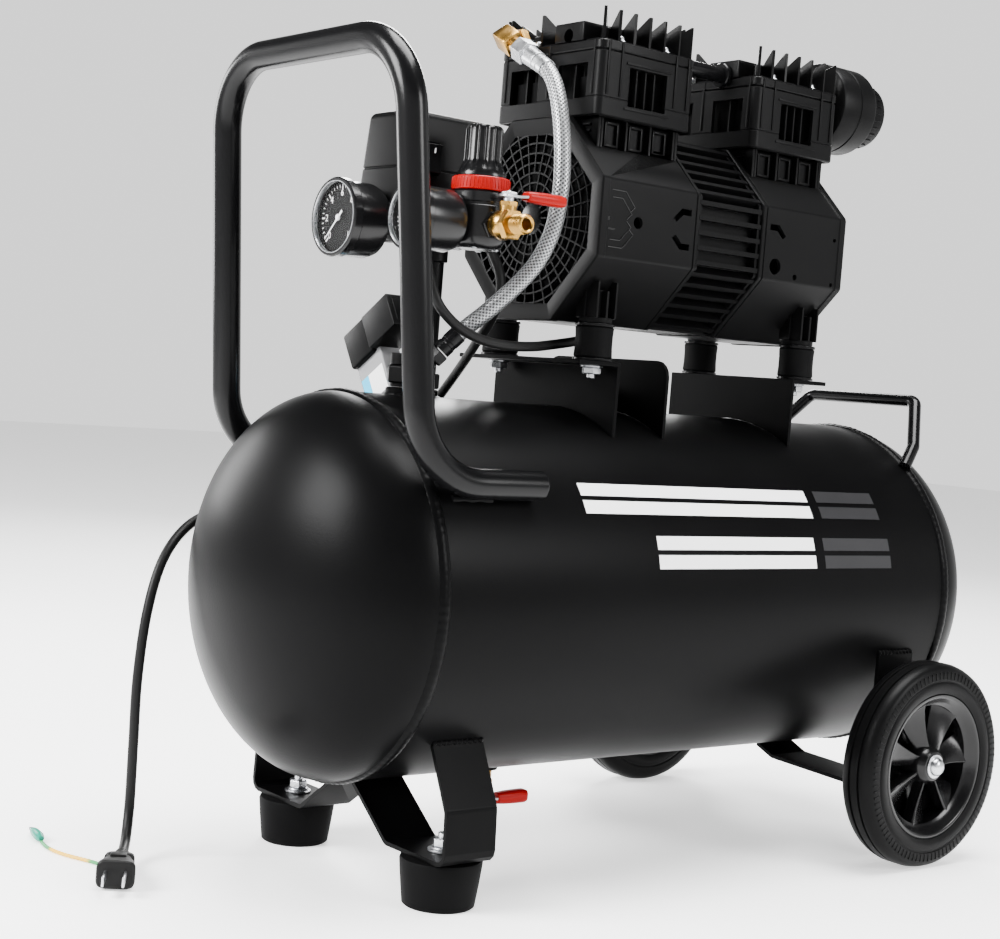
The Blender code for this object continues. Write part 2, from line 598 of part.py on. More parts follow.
# ---- air path and controls -----------------------------------------------------------------
def delivery_line():
    """Brass elbow, braided hose and the check valve on the tank."""
    face = CYLINDER_X[0] - CYLINDER_HALF
    knee = Vector((-0.1045, 0.0310, 0.5880))
    nose = Vector((-0.1060, 0.0040, 0.5745))
    elbow = rod("delivery_elbow", (face - GAP, 0.0310, 0.5880), knee, 0.0068, BRASS, sides=16)
    down = (nose - knee).normalized()
    join(elbow, rod("elbow_arm", knee - down * 0.0040, nose, 0.0066, BRASS, sides=16))
    join(elbow, rod("elbow_nut", nose - down * 0.001, nose + down * 0.0150, 0.0088, BRASS, sides=6))
    tube("delivery_hose", smooth(HOSE_ROUTE, 0.014), HOSE_R, BRAID)
    valve = rod("check_valve", (CHECK_X, CHECK_Y, TANK_TOP + 0.005 + GAP),
                (CHECK_X, CHECK_Y, 0.3560), 0.0110, BRASS, sides=6)
    aim = (Vector(HOSE_ROUTE[-1]) - Vector(HOSE_ROUTE[-2])).normalized()
    end = Vector(HOSE_ROUTE[-1])
    join(valve, rod("check_nut", end + aim * 0.0006, end + aim * 0.0090, 0.0080, BRASS, sides=6))
    join(valve, rod("check_arm", end + aim * 0.0070, (CHECK_X, CHECK_Y, 0.3440), 0.0060, BRASS))


def manifold():
    """Riser from the tank and the cross pipe that carries the gauges and the switch."""
    high = (RISER_X, RISER_Y, MANIFOLD_Z)
    pipe = rod("air_manifold", (RISER_X, RISER_Y, TANK_TOP + 0.005 + GAP), high, 0.0080, BLACK_ALLOY)
    join(pipe, rod("cross_pipe", (-0.2180, 0, MANIFOLD_Z), (-0.1600, 0, MANIFOLD_Z), 0.0110,
                   BLACK_ALLOY, sides=24))
    join(pipe, rod("regulator_branch", (REGULATOR_X, 0, MANIFOLD_Z + 0.0013),
                   (REGULATOR_X, REGULATOR_Y + 0.0190, MANIFOLD_Z + 0.0013), 0.0080, BLACK_ALLOY))
    join(pipe, rod("switch_nipple", (REGULATOR_X, 0, MANIFOLD_Z), (REGULATOR_X, 0, 0.4580), 0.0060,
                   BLACK_ALLOY))


def switch_box():
    """Tapered pressure-switch cover with its cord gland, and the rocker in its side."""
    def tapered(name, inset, floor, roof):
        shape = bmesh.new()
        bmesh.ops.create_cube(shape, size=1.0)
        for spot in shape.verts:
            lean = 0.0035 if spot.co.z > 0 else 0.0
            x_low, x_high = SWITCH_X[0] + inset + lean, SWITCH_X[1] - inset - lean
            y_low, y_high = SWITCH_Y[0] + inset + lean, SWITCH_Y[1] - inset - lean
            spot.co.x = x_high if spot.co.x > 0 else x_low
            spot.co.y = y_high if spot.co.y > 0 else y_low
            spot.co.z = roof if spot.co.z > 0 else floor
        return from_bmesh(shape, name, PLASTIC)

    cover = tapered("pressure_switch_cover", 0.0, *SWITCH_Z)
    edge = cover.modifiers.new("edges", "BEVEL")
    edge.width = 0.004
    edge.segments = 2
    inside = tapered("switch_inside", 0.0028, SWITCH_Z[0] + 0.003, SWITCH_Z[1] - 0.0028)
    cut(cover, inside)
    cut(cover, rod("switch_throat", (REGULATOR_X, 0, 0.445), (REGULATOR_X, 0, 0.462), 0.0090,
                   PLASTIC))
    back = Vector((-0.1520, -0.0120, SWITCH_Z[0] + 0.0015))
    aim = Vector((0.55, 0.0, -0.84)).normalized()
    join(cover, rod("cord_gland", back, Vector(CORD_ROUTE[0]) - aim * 0.0004, 0.0066, PLASTIC,
                    sides=16, tip=0.0046))
    rocker_x, rocker_z = -0.2080, 0.4850
    cut(cover, block("rocker_hole", (rocker_x - 0.0068, -0.05, rocker_z - 0.0108),
                     (rocker_x + 0.0068, -0.02, rocker_z + 0.0108), PLASTIC))
    hinge = (rocker_x, -0.0280, rocker_z)
    shape = bmesh.new()
    bmesh.ops.create_cone(shape, cap_ends=True, segments=24, radius1=0.0105, radius2=0.0105,
                          depth=0.0126)
    shape.transform(Matrix.Rotation(math.pi / 2, 4, "Y"))
    rocker = from_bmesh(shape, "power_switch", PLASTIC, hinge)
    keep = block("rocker_keep", (rocker_x - 0.02, hinge[1] - 0.0065, rocker_z - 0.0098),
                 (rocker_x + 0.02, hinge[1] + 0.0045, rocker_z + 0.0098), PLASTIC)
    combine(rocker, keep, "INTERSECT")


def gauge(name, face, deep, radius, neck_end, neck_r, where):
    """A round pressure gauge facing -X with a free needle over its dial."""
    y, z = where
    dial = face + 0.0062
    profile = [(0.0, -dial), (radius - 0.0030, -dial), (radius - 0.0030, -face),
               (radius, -face), (radius, -(face + 0.007)), (radius - 0.0015, -(face + 0.009)),
               (radius - 0.0015, -(face + deep - 0.006)), (radius - 0.007, -(face + deep)),
               (neck_r, -(face + deep)), (neck_r, -neck_end), (0.0, -neck_end)]
    turned(f"{name}_gauge", profile, BLACK_ALLOY, (0, y, z), "-X", steps=18)
    reach = radius - 0.0060
    pivot = (dial - 0.0022, y, z)
    needle = rod(f"{name}_gauge_needle", (dial - 0.0028, y, z), (dial - 0.0016, y, z), 0.0024,
                 NEEDLE_WHITE, sides=16, origin=pivot)
    pointer = block(f"{name}_pointer", (-0.0003, -0.0006, -0.0060), (0.0003, 0.0006, reach),
                    NEEDLE_WHITE)
    pointer.location = pivot
    pointer.rotation_euler = (math.radians(-135), 0.0, 0.0)
    join(needle, pointer)


def regulator():
    """Regulator bowl, its red ring and the knob that turns on it."""
    centre = (REGULATOR_X, REGULATOR_Y, 0)
    body = [(0.0, 0.4642), (0.0175, 0.4642), (0.0188, 0.4630), (0.0188, 0.4350), (0.0175, 0.4290),
            (0.0130, 0.4266), (0.0, 0.4266)]
    turned("regulator_body", body, BLACK_ALLOY, centre, "+Z", steps=20)
    ring = [(0.0110, 0.4733), (0.0185, 0.4733), (0.0192, 0.4725), (0.0192, 0.4653),
            (0.0185, 0.4645), (0.0110, 0.4645)]
    turned("regulator_ring", ring, RED, centre, "+Z", steps=20, ring=True)
    knob = [(0.0, 0.0338), (0.0105, 0.0338), (0.0125, 0.0322), (0.0125, 0.0100), (0.0165, 0.0025),
            (0.0165, 0.0), (0.0100, 0.0), (0.0100, -0.0080), (0.0, -0.0080)]
    knob_at = (REGULATOR_X, REGULATOR_Y, 0.4736)
    grip = turned("regulator_knob", knob, PLASTIC, knob_at, "+Z", steps=20)
    for i in range(6):
        turn = math.radians(i * 60)
        where = (0.0138 * math.cos(turn), 0.0138 * math.sin(turn))
        flute = rod(f"knob_flute_{i}", (*where, 0.0105), (*where, 0.036), 0.0024, PLASTIC, sides=6)
        flute.location = knob_at
        cut(grip, flute)


def lever(name, pivot, reach, stem, height, lift):
    """A valve lever that points to +X: a thin plate, its sleeve and a round stem."""
    x, y, z = pivot
    arm = rod(name, (x, y, z - stem), (x, y, z + 0.0022), 0.0035, RED, sides=16, origin=pivot)
    thick = 0.0008
    join(arm, block(f"{name}_plate", (x - 0.006, y - 0.0050, z - thick),
                    (x + 0.018, y + 0.0050, z + thick), RED))
    sleeve = block(f"{name}_sleeve", (x + 0.014, y - 0.0052, z + lift - height / 2),
                   (x + reach, y + 0.0052, z + lift + height / 2), RED)
    soft = sleeve.modifiers.new("edges", "BEVEL")
    soft.width = 0.0018
    soft.segments = 2
    join(arm, sleeve)


def valves():
    """Ball valve at the outlet and the drain valve under the tank."""
    z = MANIFOLD_Z + 0.0013
    start = REGULATOR_Y - 0.0191
    body = rod("outlet_valve", (REGULATOR_X, start, z), (REGULATOR_X, -0.0850, z), 0.0075, BRASS)
    join(body, rod("outlet_hex", (REGULATOR_X, -0.0835, z), (REGULATOR_X, -0.0965, z), 0.0105,
                   BRASS, sides=6))
    join(body, rod("outlet_nipple", (REGULATOR_X, -0.0960, z), (REGULATOR_X, -0.1110, z), 0.0065,
                   BRASS))
    join(body, rod("outlet_bonnet", (REGULATOR_X, -0.0900, z), (REGULATOR_X, -0.0900, z + 0.0150),
                   0.0055, BRASS))
    cut(body, rod("outlet_bore", (REGULATOR_X, -0.0980, z), (REGULATOR_X, -0.1200, z), 0.0036,
                  BRASS, sides=16))
    cut(body, rod("outlet_stem_hole", (REGULATOR_X, -0.0900, z + 0.009),
                  (REGULATOR_X, -0.0900, z + 0.020), 0.0038, BRASS))
    lever("outlet_valve_lever", (REGULATOR_X, -0.0900, z + 0.0185), 0.046, 0.0080, 0.0070, 0.0015)
    low = TANK_Z - TANK_R - 0.004 - GAP
    drain = rod("drain_valve", (DRAIN_X, 0, low), (DRAIN_X, 0, 0.0480), 0.0080, BRASS, sides=6)
    join(drain, rod("drain_spout", (DRAIN_X, 0, 0.0485), (DRAIN_X - 0.0190, 0, 0.0440), 0.0050,
                    BRASS, sides=16))
    cut(drain, rod("drain_stem_hole", (DRAIN_X, 0, 0.0400), (DRAIN_X, 0, 0.0550), 0.0038, BRASS))
    handle = "drain_valve_lever"
    pivot = (DRAIN_X, 0.0, 0.0405)
    arm = rod(handle, (DRAIN_X, 0, 0.0385), (DRAIN_X, 0, 0.0540), 0.0035, RED, sides=16, origin=pivot)
    join(arm, block(f"{handle}_plate", (DRAIN_X - 0.006, -0.005, 0.0397),
                    (DRAIN_X + 0.018, 0.005, 0.0413), RED))
    sleeve = block(f"{handle}_sleeve", (DRAIN_X + 0.014, -0.0055, 0.0350),
                   (DRAIN_X + 0.042, 0.0055, 0.0455), RED)
    soft = sleeve.modifiers.new("edges", "BEVEL")
    soft.width = 0.0022
    soft.segments = 2
    join(arm, sleeve)


def solenoid():
    """Unloader solenoid on the tank's far shoulder, tilted with the surface under it."""
    centre = (-0.177, 0.0454, 0.3778)
    lean = (math.radians(-32.4), 0.0, 0.0)
    body = block("unloader_solenoid", (-0.013, -0.0168, -0.0127), (0.013, 0.0168, 0.0127), PLASTIC)
    cap = block("solenoid_cap", (-0.011, 0.0160, -0.0141), (0.011, 0.0452, 0.0141), PLASTIC)
    base = block("solenoid_base", (-0.007, 0.0125, -0.0560), (0.011, 0.0440, -0.0120), PLASTIC)
    for piece in (body, cap, base):
        piece.location = centre
        piece.rotation_euler = lean
    join(body, cap, base)
    cut(body, TANK_CLEAR)


# ---- cords ---------------------------------------------------------------------------------
def cords():
    """Motor cable, mains cord with its plug, and the earth wire with its clip."""
    tube("motor_cable", smooth(MOTOR_CABLE_ROUTE, 0.018), CORD_R, CABLE, resolution=2)
    tube("mains_cord", smooth(CORD_ROUTE, 0.019), CORD_R, CABLE, resolution=2)
    tube("ground_wire", smooth(GROUND_ROUTE, 0.0075), GROUND_R, EARTH, resolution=2)
    turn = PLUG_AIM.to_track_quat("Y", "Z").to_euler()
    plug = rod("plug", (0, 0.0, 0), (0, 0.0260, 0), 0.0048, CABLE, sides=12, tip=0.0062)
    body = block("plug_body", (-0.0125, 0.0240, -0.0095), (0.0125, 0.0500, 0.0095), CABLE)
    soft = body.modifiers.new("edges", "BEVEL")
    soft.width = 0.003
    soft.segments = 2
    pins = [block(f"plug_pin_{s}", (s * 0.00635 - 0.00075, 0.049, -0.0032),
                  (s * 0.00635 + 0.00075, 0.0670, 0.0032), CABLE) for s in (-1, 1)]
    join(plug, body, *pins)
    for piece in (plug, body, *pins):
        piece.location = PLUG_BACK
        piece.rotation_euler = turn
    tail = Vector(GROUND_ROUTE[-1])
    aim = (tail - Vector(GROUND_ROUTE[-2])).normalized()
    clip = rod("ground_clip", tail + aim * GAP, tail + aim * 0.014, 0.0030, CLIP_GREEN, sides=12,
               tip=0.0034)
    join(clip, rod("clip_jaw", tail + aim * 0.013, tail + aim * 0.030, 0.0034, CLIP_GREEN, sides=12,
                   tip=0.0012))
    clip.location.z += 0.0022
    bpy.data.objects["clip_jaw"].location.z += 0.0022


air_tank()
front_legs()
wheels()
handles()
motor_brackets()
shroud("front_shroud", FRONT_MOTOR_X[1], FRONT_MOTOR_X[0], CYLINDER_X[0])
shroud("rear_shroud", REAR_MOTOR_X[0], REAR_MOTOR_X[1], CYLINDER_X[1])
stator()
shaft_and_fans()
pump("front", CYLINDER_X[0])
pump("rear", CYLINDER_X[1])
intake_and_crossover()
delivery_line()
manifold()
switch_box()
gauge("tank", -0.2630, 0.0322, 0.0262, -0.2183, 0.0070, (0.0, MANIFOLD_Z))
gauge("outlet", -0.2470, 0.0370, 0.0220, -0.2082, 0.0060, (REGULATOR_Y, MANIFOLD_Z + 0.0013))
regulator()
valves()
solenoid()
cords()

for thing in PARTS.objects:
    if thing.type == "MESH" and len(thing.data.polygons):
        thing.data.shade_smooth()
        thing.data.set_sharp_from_angle(angle=math.radians(35))
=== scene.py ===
"""Looks of the portable twin-cylinder air compressor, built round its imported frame."""
from __future__ import annotations

import json
import logging
import math
from dataclasses import dataclass, field
from enum import Enum
from typing import Any, Callable, Iterable, Sequence

import bmesh
import bpy
from mathutils import Matrix, Vector

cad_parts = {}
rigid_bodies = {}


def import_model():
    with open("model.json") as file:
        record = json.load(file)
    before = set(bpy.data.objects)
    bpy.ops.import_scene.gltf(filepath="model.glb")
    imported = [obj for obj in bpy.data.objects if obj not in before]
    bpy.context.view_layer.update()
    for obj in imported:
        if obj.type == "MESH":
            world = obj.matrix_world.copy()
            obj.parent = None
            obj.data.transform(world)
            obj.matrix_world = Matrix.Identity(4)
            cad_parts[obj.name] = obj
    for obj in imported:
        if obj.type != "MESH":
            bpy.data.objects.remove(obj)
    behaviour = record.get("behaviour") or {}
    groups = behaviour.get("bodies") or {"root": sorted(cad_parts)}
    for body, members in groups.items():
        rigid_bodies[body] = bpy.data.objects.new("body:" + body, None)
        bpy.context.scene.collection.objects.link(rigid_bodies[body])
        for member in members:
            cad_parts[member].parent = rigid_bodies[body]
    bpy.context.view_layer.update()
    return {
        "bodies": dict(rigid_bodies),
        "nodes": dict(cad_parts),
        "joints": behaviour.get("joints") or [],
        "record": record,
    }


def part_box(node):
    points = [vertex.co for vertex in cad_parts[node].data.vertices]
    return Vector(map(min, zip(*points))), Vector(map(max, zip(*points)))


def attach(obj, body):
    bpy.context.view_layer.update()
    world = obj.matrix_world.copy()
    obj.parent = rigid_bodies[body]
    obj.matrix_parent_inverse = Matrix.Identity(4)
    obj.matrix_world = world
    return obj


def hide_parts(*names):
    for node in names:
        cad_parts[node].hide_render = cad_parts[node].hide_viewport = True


LOG = logging.getLogger("compressor")
Point = Sequence[float]
SHARP = math.radians(32)
EDGE = 0.0005                    # small softened edge on sheet and mouldings
FINE = 0.0002                    # edge of small turned and pressed parts
SIDES = ((-1, "right"), (1, "left"))


# ---- shader maths --------------------------------------------------------------------------
class Wire:
    """A number or colour socket that takes part in Python expressions."""

    def __init__(self, sheet: "NodeSheet", socket: bpy.types.NodeSocket) -> None:
        """Wrap one output socket of a node sheet."""
        self.sheet = sheet
        self.socket = socket

    def _math(self, operation: str, first: Any, second: Any) -> "Wire":
        """Add one Math node.

        Args:
            operation: Blender's name for the sum.
            first: A Wire or number.
            second: A Wire or number.

        Returns:
            The node's result.
        """
        return self.sheet.add("ShaderNodeMath", {"operation": operation}, {0: first, 1: second})

    def __add__(self, other: Any) -> "Wire":
        """Sum."""
        return self._math("ADD", self, other)

    def __radd__(self, other: Any) -> "Wire":
        """Sum with a number on the left."""
        return self._math("ADD", other, self)

    def __sub__(self, other: Any) -> "Wire":
        """Difference."""
        return self._math("SUBTRACT", self, other)

    def __rsub__(self, other: Any) -> "Wire":
        """Difference with a number on the left."""
        return self._math("SUBTRACT", other, self)

    def __mul__(self, other: Any) -> "Wire":
        """Product."""
        return self._math("MULTIPLY", self, other)

    def __rmul__(self, other: Any) -> "Wire":
        """Product with a number on the left."""
        return self._math("MULTIPLY", other, self)

    def over(self, edge: float, soft: float) -> "Wire":
        """A mask that rises from 0 to 1 across a soft edge.

        Args:
            edge: The value where the mask is half.
            soft: Half the width of the rise.

        Returns:
            The mask.
        """
        limits = {1: edge - soft, 2: edge + soft}
        return self.sheet.add("ShaderNodeMapRange", {"interpolation_type": "SMOOTHSTEP"},
                              {0: self, **limits})


class NodeSheet:
    """The node tree of one material, or a tree that is handed in."""

    def __init__(self, name: str, tree: bpy.types.NodeTree | None = None) -> None:
        """Start a material with a Principled shader, or take the given tree.

        Args:
            name: The material's name.
            tree: A tree to work in instead.
        """
        if tree is not None:
            self.tree = tree
            return
        self.material = bpy.data.materials.new(name)
        self.material.use_nodes = True
        self.tree = self.material.node_tree
        self.shader = self.tree.nodes["Principled BSDF"]

    def add(self, kind: str, settings: dict[str, Any], inputs: dict[Any, Any],
            output: int | str = 0) -> Wire:
        """Add one node.

        Args:
            kind: The node's type.
            settings: Properties set before its sockets, such as an operation.
            inputs: Values or Wires, by socket name or number.
            output: The socket that is returned.

        Returns:
            A Wire on the chosen output.
        """
        node = self.tree.nodes.new(kind)
        for key, value in settings.items():
            setattr(node, key, value)
        for key, value in inputs.items():
            self.feed(node.inputs[key], value)
        return Wire(self, node.outputs[output])

    def feed(self, socket: bpy.types.NodeSocket, value: Any) -> None:
        """Set a socket's value, or link a Wire to it.

        Args:
            socket: The input.
            value: A value or a Wire.
        """
        if isinstance(value, Wire):
            self.tree.links.new(value.socket, socket)
        else:
            socket.default_value = value

    def place(self) -> Wire:
        """Coordinates in metres, fixed to the piece."""
        return self.add("ShaderNodeTexCoord", {}, {}, "Object")

    def noise(self, scale: float, detail: float = 2.0, stretch: Point = (1, 1, 1)) -> Wire:
        """Cloudy pattern between 0 and 1.

        Args:
            scale: Cells to the metre.
            detail: Octaves.
            stretch: How much faster it changes along each axis.

        Returns:
            The pattern.
        """
        spread = self.add("ShaderNodeMapping", {},
                          {"Vector": self.place(), "Scale": tuple(stretch)})
        return self.add("ShaderNodeTexNoise", {},
                        {"Vector": spread, "Scale": scale, "Detail": detail})

    def blend(self, mask: Wire, low: Point, high: Point) -> Wire:
        """A colour between two others.

        Args:
            mask: 0 for the first and 1 for the second.
            low: The first colour.
            high: The second colour.

        Returns:
            The colour.
        """
        return self.add("ShaderNodeMix", {"data_type": "RGBA"},
                        {0: mask, 6: (*low, 1.0), 7: (*high, 1.0)}, 2)

    def bump(self, height: Wire, depth: float) -> None:
        """Feed a relief to the shader.

        Args:
            height: The relief, from 0 to 1.
            depth: Its depth in metres.
        """
        relief = self.add("ShaderNodeBump", {}, {"Height": height, "Distance": depth,
                                                 "Strength": 1.0})
        self.feed(self.shader.inputs["Normal"], relief)

    def finish(self, **values: Any) -> bpy.types.Material:
        """Set the shader's sockets and return the material.

        Args:
            values: Value or Wire by socket name, with underscores for spaces.

        Returns:
            The material.
        """
        for key, value in values.items():
            self.feed(self.shader.inputs[key.replace("_", " ")], value)
        return self.material


@dataclass(frozen=True)
class Finish:
    """A surface with faint colour and gloss variation and a fine relief."""

    name: str
    colour: tuple[float, float, float]
    rough: float
    metal: float = 0.0
    coat: float = 0.0
    grain: float = 900.0         # relief cells to the metre
    depth: float = 0.00004
    drift: float = 0.25          # share by which the colour varies
    gloss_drift: float = 0.08
    dust: float = 0.0            # paler film in cloudy patches
    shine: float = 0.1          # strength of its mirror-like reflection

    def material(self) -> bpy.types.Material:
        """The finish as a material, made once."""
        known = bpy.data.materials.get(self.name)
        return known if known else self.paint(NodeSheet(self.name))

    def paint(self, sheet: NodeSheet) -> bpy.types.Material:
        """Build the nodes.

        Args:
            sheet: An empty material.

        Returns:
            The finished material.
        """
        cloud = sheet.noise(14.0, 3.0)
        dark = tuple(c * (1 - self.drift) for c in self.colour)
        light = tuple(c * (1 + self.drift) + self.dust for c in self.colour)
        fine = sheet.noise(self.grain, 2.0)
        sheet.bump(fine, self.depth)
        gloss = self.rough - self.gloss_drift / 2 + cloud * self.gloss_drift
        return sheet.finish(Base_Color=sheet.blend(cloud, dark, light), Roughness=gloss,
                            Metallic=self.metal, Coat_Weight=self.coat,
                            Specular_IOR_Level=self.shine)


@dataclass(frozen=True)
class TurnedMetal(Finish):
    """Bright metal with fine tool lines and slight tarnish."""

    tarnish: tuple[float, float, float] = (0.3, 0.3, 0.3)

    def paint(self, sheet: NodeSheet) -> bpy.types.Material:
        """Build the nodes.

        Args:
            sheet: An empty material.

        Returns:
            The finished material.
        """
        lines = sheet.noise(500.0, 2.0, (6.0, 1.0, 1.0))
        stain = sheet.noise(60.0, 4.0).over(0.62, 0.12)
        colour = sheet.blend(stain * 0.35, self.colour, self.tarnish)
        sheet.bump(lines, self.depth)
        return sheet.finish(Base_Color=colour, Roughness=self.rough + lines * 0.12 + stain * 0.12,
                            Metallic=self.metal)


class Paint(Enum):
    """Every finish on the machine."""

    POWDER = Finish("satin_powder_coat", (0.0016, 0.0016, 0.0017), 0.34, shine=0.033, grain=700,
                    depth=0.00006, gloss_drift=0.06)
    TUBE = Finish("gloss_tube_paint", (0.0024, 0.0024, 0.0026), 0.22, shine=0.12, grain=500,
                  depth=0.00003)
    PLASTIC = Finish("grained_black_moulding", (0.0026, 0.0026, 0.0027), 0.38, shine=0.05,
                     grain=1600, depth=0.00006, drift=0.2)
    SMOOTH = Finish("smooth_black_moulding", (0.003, 0.003, 0.0032), 0.22, shine=0.22,
                    grain=900, depth=0.00002)
    RUBBER = Finish("moulded_rubber", (0.0022, 0.0022, 0.0023), 0.56, shine=0.03,
                    grain=1100, depth=0.00008, dust=0.0005)
    TYRE = Finish("solid_tyre_rubber", (0.0018, 0.0018, 0.0019), 0.38, shine=0.05,
                  grain=1300, depth=0.00007, dust=0.0004)
    SHEATH = Finish("cable_sheath", (0.0055, 0.0055, 0.0055), 0.42, grain=1500, depth=0.00003)
    CASTING = Finish("black_painted_casting", (0.0022, 0.0022, 0.0023), 0.32, shine=0.06, grain=800,
                     depth=0.00009)
    HOUSING = Finish("light_grey_moulding", (0.2, 0.2, 0.205), 0.42, grain=1400, depth=0.00004,
                     drift=0.06)
    # painted shade: near-black matt fill for sheets set where only shade would show
    PIT = Finish("painted_shade_fill", (0.0015, 0.0015, 0.0015), 0.8, grain=500, depth=0.00002)
    ZINC = TurnedMetal("bright_zinc", (0.52, 0.53, 0.55), 0.22, metal=1.0, depth=0.00002)
    STEEL = TurnedMetal("braid_wire", (0.47, 0.48, 0.49), 0.24, metal=1.0, depth=0.00001,
                        tarnish=(0.42, 0.42, 0.43))
    ALLOY = TurnedMetal("die_cast_alloy", (0.46, 0.47, 0.48), 0.38, metal=1.0, depth=0.00005)
    BRASS = TurnedMetal("turned_brass", (0.36, 0.2, 0.045), 0.22, metal=1.0, depth=0.00002,
                        tarnish=(0.42, 0.26, 0.09))
    RED = Finish("red_vinyl", (0.24, 0.0004, 0.0005), 0.3, grain=900, depth=0.00002, drift=0.08)
    WHITE = Finish("white_ink", (0.82, 0.82, 0.82), 0.45, grain=900, depth=0.00001, drift=0.03)
    GREY = Finish("dark_grey_ink", (0.016, 0.016, 0.017), 0.4, grain=900, depth=0.00001)
    LABEL_BLUE = Finish("cyan_label_ink", (0.02, 0.42, 0.68), 0.45, grain=900, depth=0.00001,
                        drift=0.05)
    DIAL = Finish("matt_black_dial", (0.006, 0.006, 0.006), 0.6, grain=900, depth=0.00001)
    YELLOW = Finish("earth_yellow", (0.7, 0.4, 0.006), 0.4, grain=900, depth=0.00002, drift=0.08)
    GREEN = Finish("earth_green", (0.008, 0.2, 0.05), 0.4, grain=900, depth=0.00002, drift=0.08)
    CLIP = Finish("clip_boot_green", (0.001, 0.17, 0.115), 0.34, coat=0.2, grain=700, depth=0.00003,
                  drift=0.1)

    @property
    def material(self) -> bpy.types.Material:
        """The paint's material."""
        return self.value.material()


# ---- lines ---------------------------------------------------------------------------------
def filleted(points: Sequence[Point], radius: float, count: int = 10) -> list[Vector]:
    """Round the corners of an open line.

    Args:
        points: Corners of the line.
        radius: Bend radius.
        count: Steps round each corner.

    Returns:
        The rounded line.
    """
    knots = [Vector(p) for p in points]
    line = [knots[0]]
    for before, corner, after in zip(knots, knots[1:], knots[2:]):
        first, second = (before - corner).normalized(), (after - corner).normalized()
        half = first.angle(second) / 2
        reach = min(radius / math.tan(half), 0.48 * (before - corner).length,
                    0.48 * (after - corner).length)
        centre = corner + (first + second).normalized() * (reach / math.cos(half))
        start, end = corner + first * reach - centre, corner + second * reach - centre
        line += [centre + start.slerp(end, i / count) * start.length for i in range(count + 1)]
    return line + [knots[-1]]


def flowing(points: Sequence[Point], spacing: float) -> list[Vector]:
    """Even points along one smooth curve.

    Args:
        points: Points that the curve passes.
        spacing: Distance between the returned points.

    Returns:
        The even points.
    """
    knots = [Vector(p) for p in points]
    knots = [2 * knots[0] - knots[1], *knots, 2 * knots[-1] - knots[-2]]
    fine: list[Vector] = []
    for a, b, c, d in zip(knots, knots[1:], knots[2:], knots[3:]):
        for i in range(24):
            t = i / 24
            fine.append(0.5 * (2 * b + (c - a) * t + (2 * a - 5 * b + 4 * c - d) * t * t
                               + (3 * b - a - 3 * c + d) * t ** 3))
    fine.append(knots[-2])
    run = [0.0]
    for p, q in zip(fine, fine[1:]):
        run.append(run[-1] + (q - p).length)
    count = max(2, round(run[-1] / spacing))
    even, at = [], 0
    for i in range(count + 1):
        goal = run[-1] * i / count
        while at < len(fine) - 2 and run[at + 1] < goal:
            at += 1
        even.append(fine[at].lerp(fine[at + 1], (goal - run[at]) / (run[at + 1] - run[at])))
    return even


def line_length(points: Sequence[Vector]) -> float:
    """Length of a line of points."""
    return sum((q - p).length for p, q in zip(points, points[1:]))


def frames(points: Sequence[Vector]) -> list[tuple[Vector, Vector, Vector]]:
    """Turning-free frames along a line.

    Args:
        points: The line.

    Returns:
        (tangent, side, up) at each point.
    """
    found = []
    last = len(points) - 1
    side = Vector()
    for i in range(last + 1):
        along = (points[min(i + 1, last)] - points[max(i - 1, 0)]).normalized()
        if not i:
            side = along.orthogonal().normalized()
        side = (side - along * side.dot(along)).normalized()
        found.append((along, side, along.cross(side)))
    return found


def aimed(where: Point, along: Point, spin: float = 0.0) -> Matrix:
    """A placement whose +Z points along a direction.

    Args:
        where: Origin of the placement.
        along: Direction of its Z axis.
        spin: Turn about that axis in degrees.

    Returns:
        The placement.
    """
    turn = Vector(along).to_track_quat("Z", "Y").to_matrix().to_4x4()
    return Matrix.Translation(Vector(where)) @ turn @ Matrix.Rotation(math.radians(spin), 4, "Z")


def around(count: int) -> list[float]:
    """Angles spaced evenly round a circle."""
    return [2 * math.pi * k / count for k in range(count)]


def turned(where: Matrix, count: int, start: float = 0.0) -> list[Matrix]:
    """Placements spaced evenly round the Z axis of another.

    Args:
        where: The placement that they share.
        count: How many there are.
        start: Angle of the first.

    Returns:
        The placements.
    """
    return [where @ Matrix.Rotation(turn + start, 4, "Z") for turn in around(count)]


def squarish(count: int, power: float) -> list[tuple[float, float]]:
    """Points of a unit circle pushed toward a square.

    Args:
        count: Number of points.
        power: 1 for a circle, less for a squarer one.

    Returns:
        Flat points.
    """
    pairs = [(math.cos(a), math.sin(a)) for a in around(count)]
    return [(math.copysign(abs(x) ** power, x), math.copysign(abs(y) ** power, y))
            for x, y in pairs]


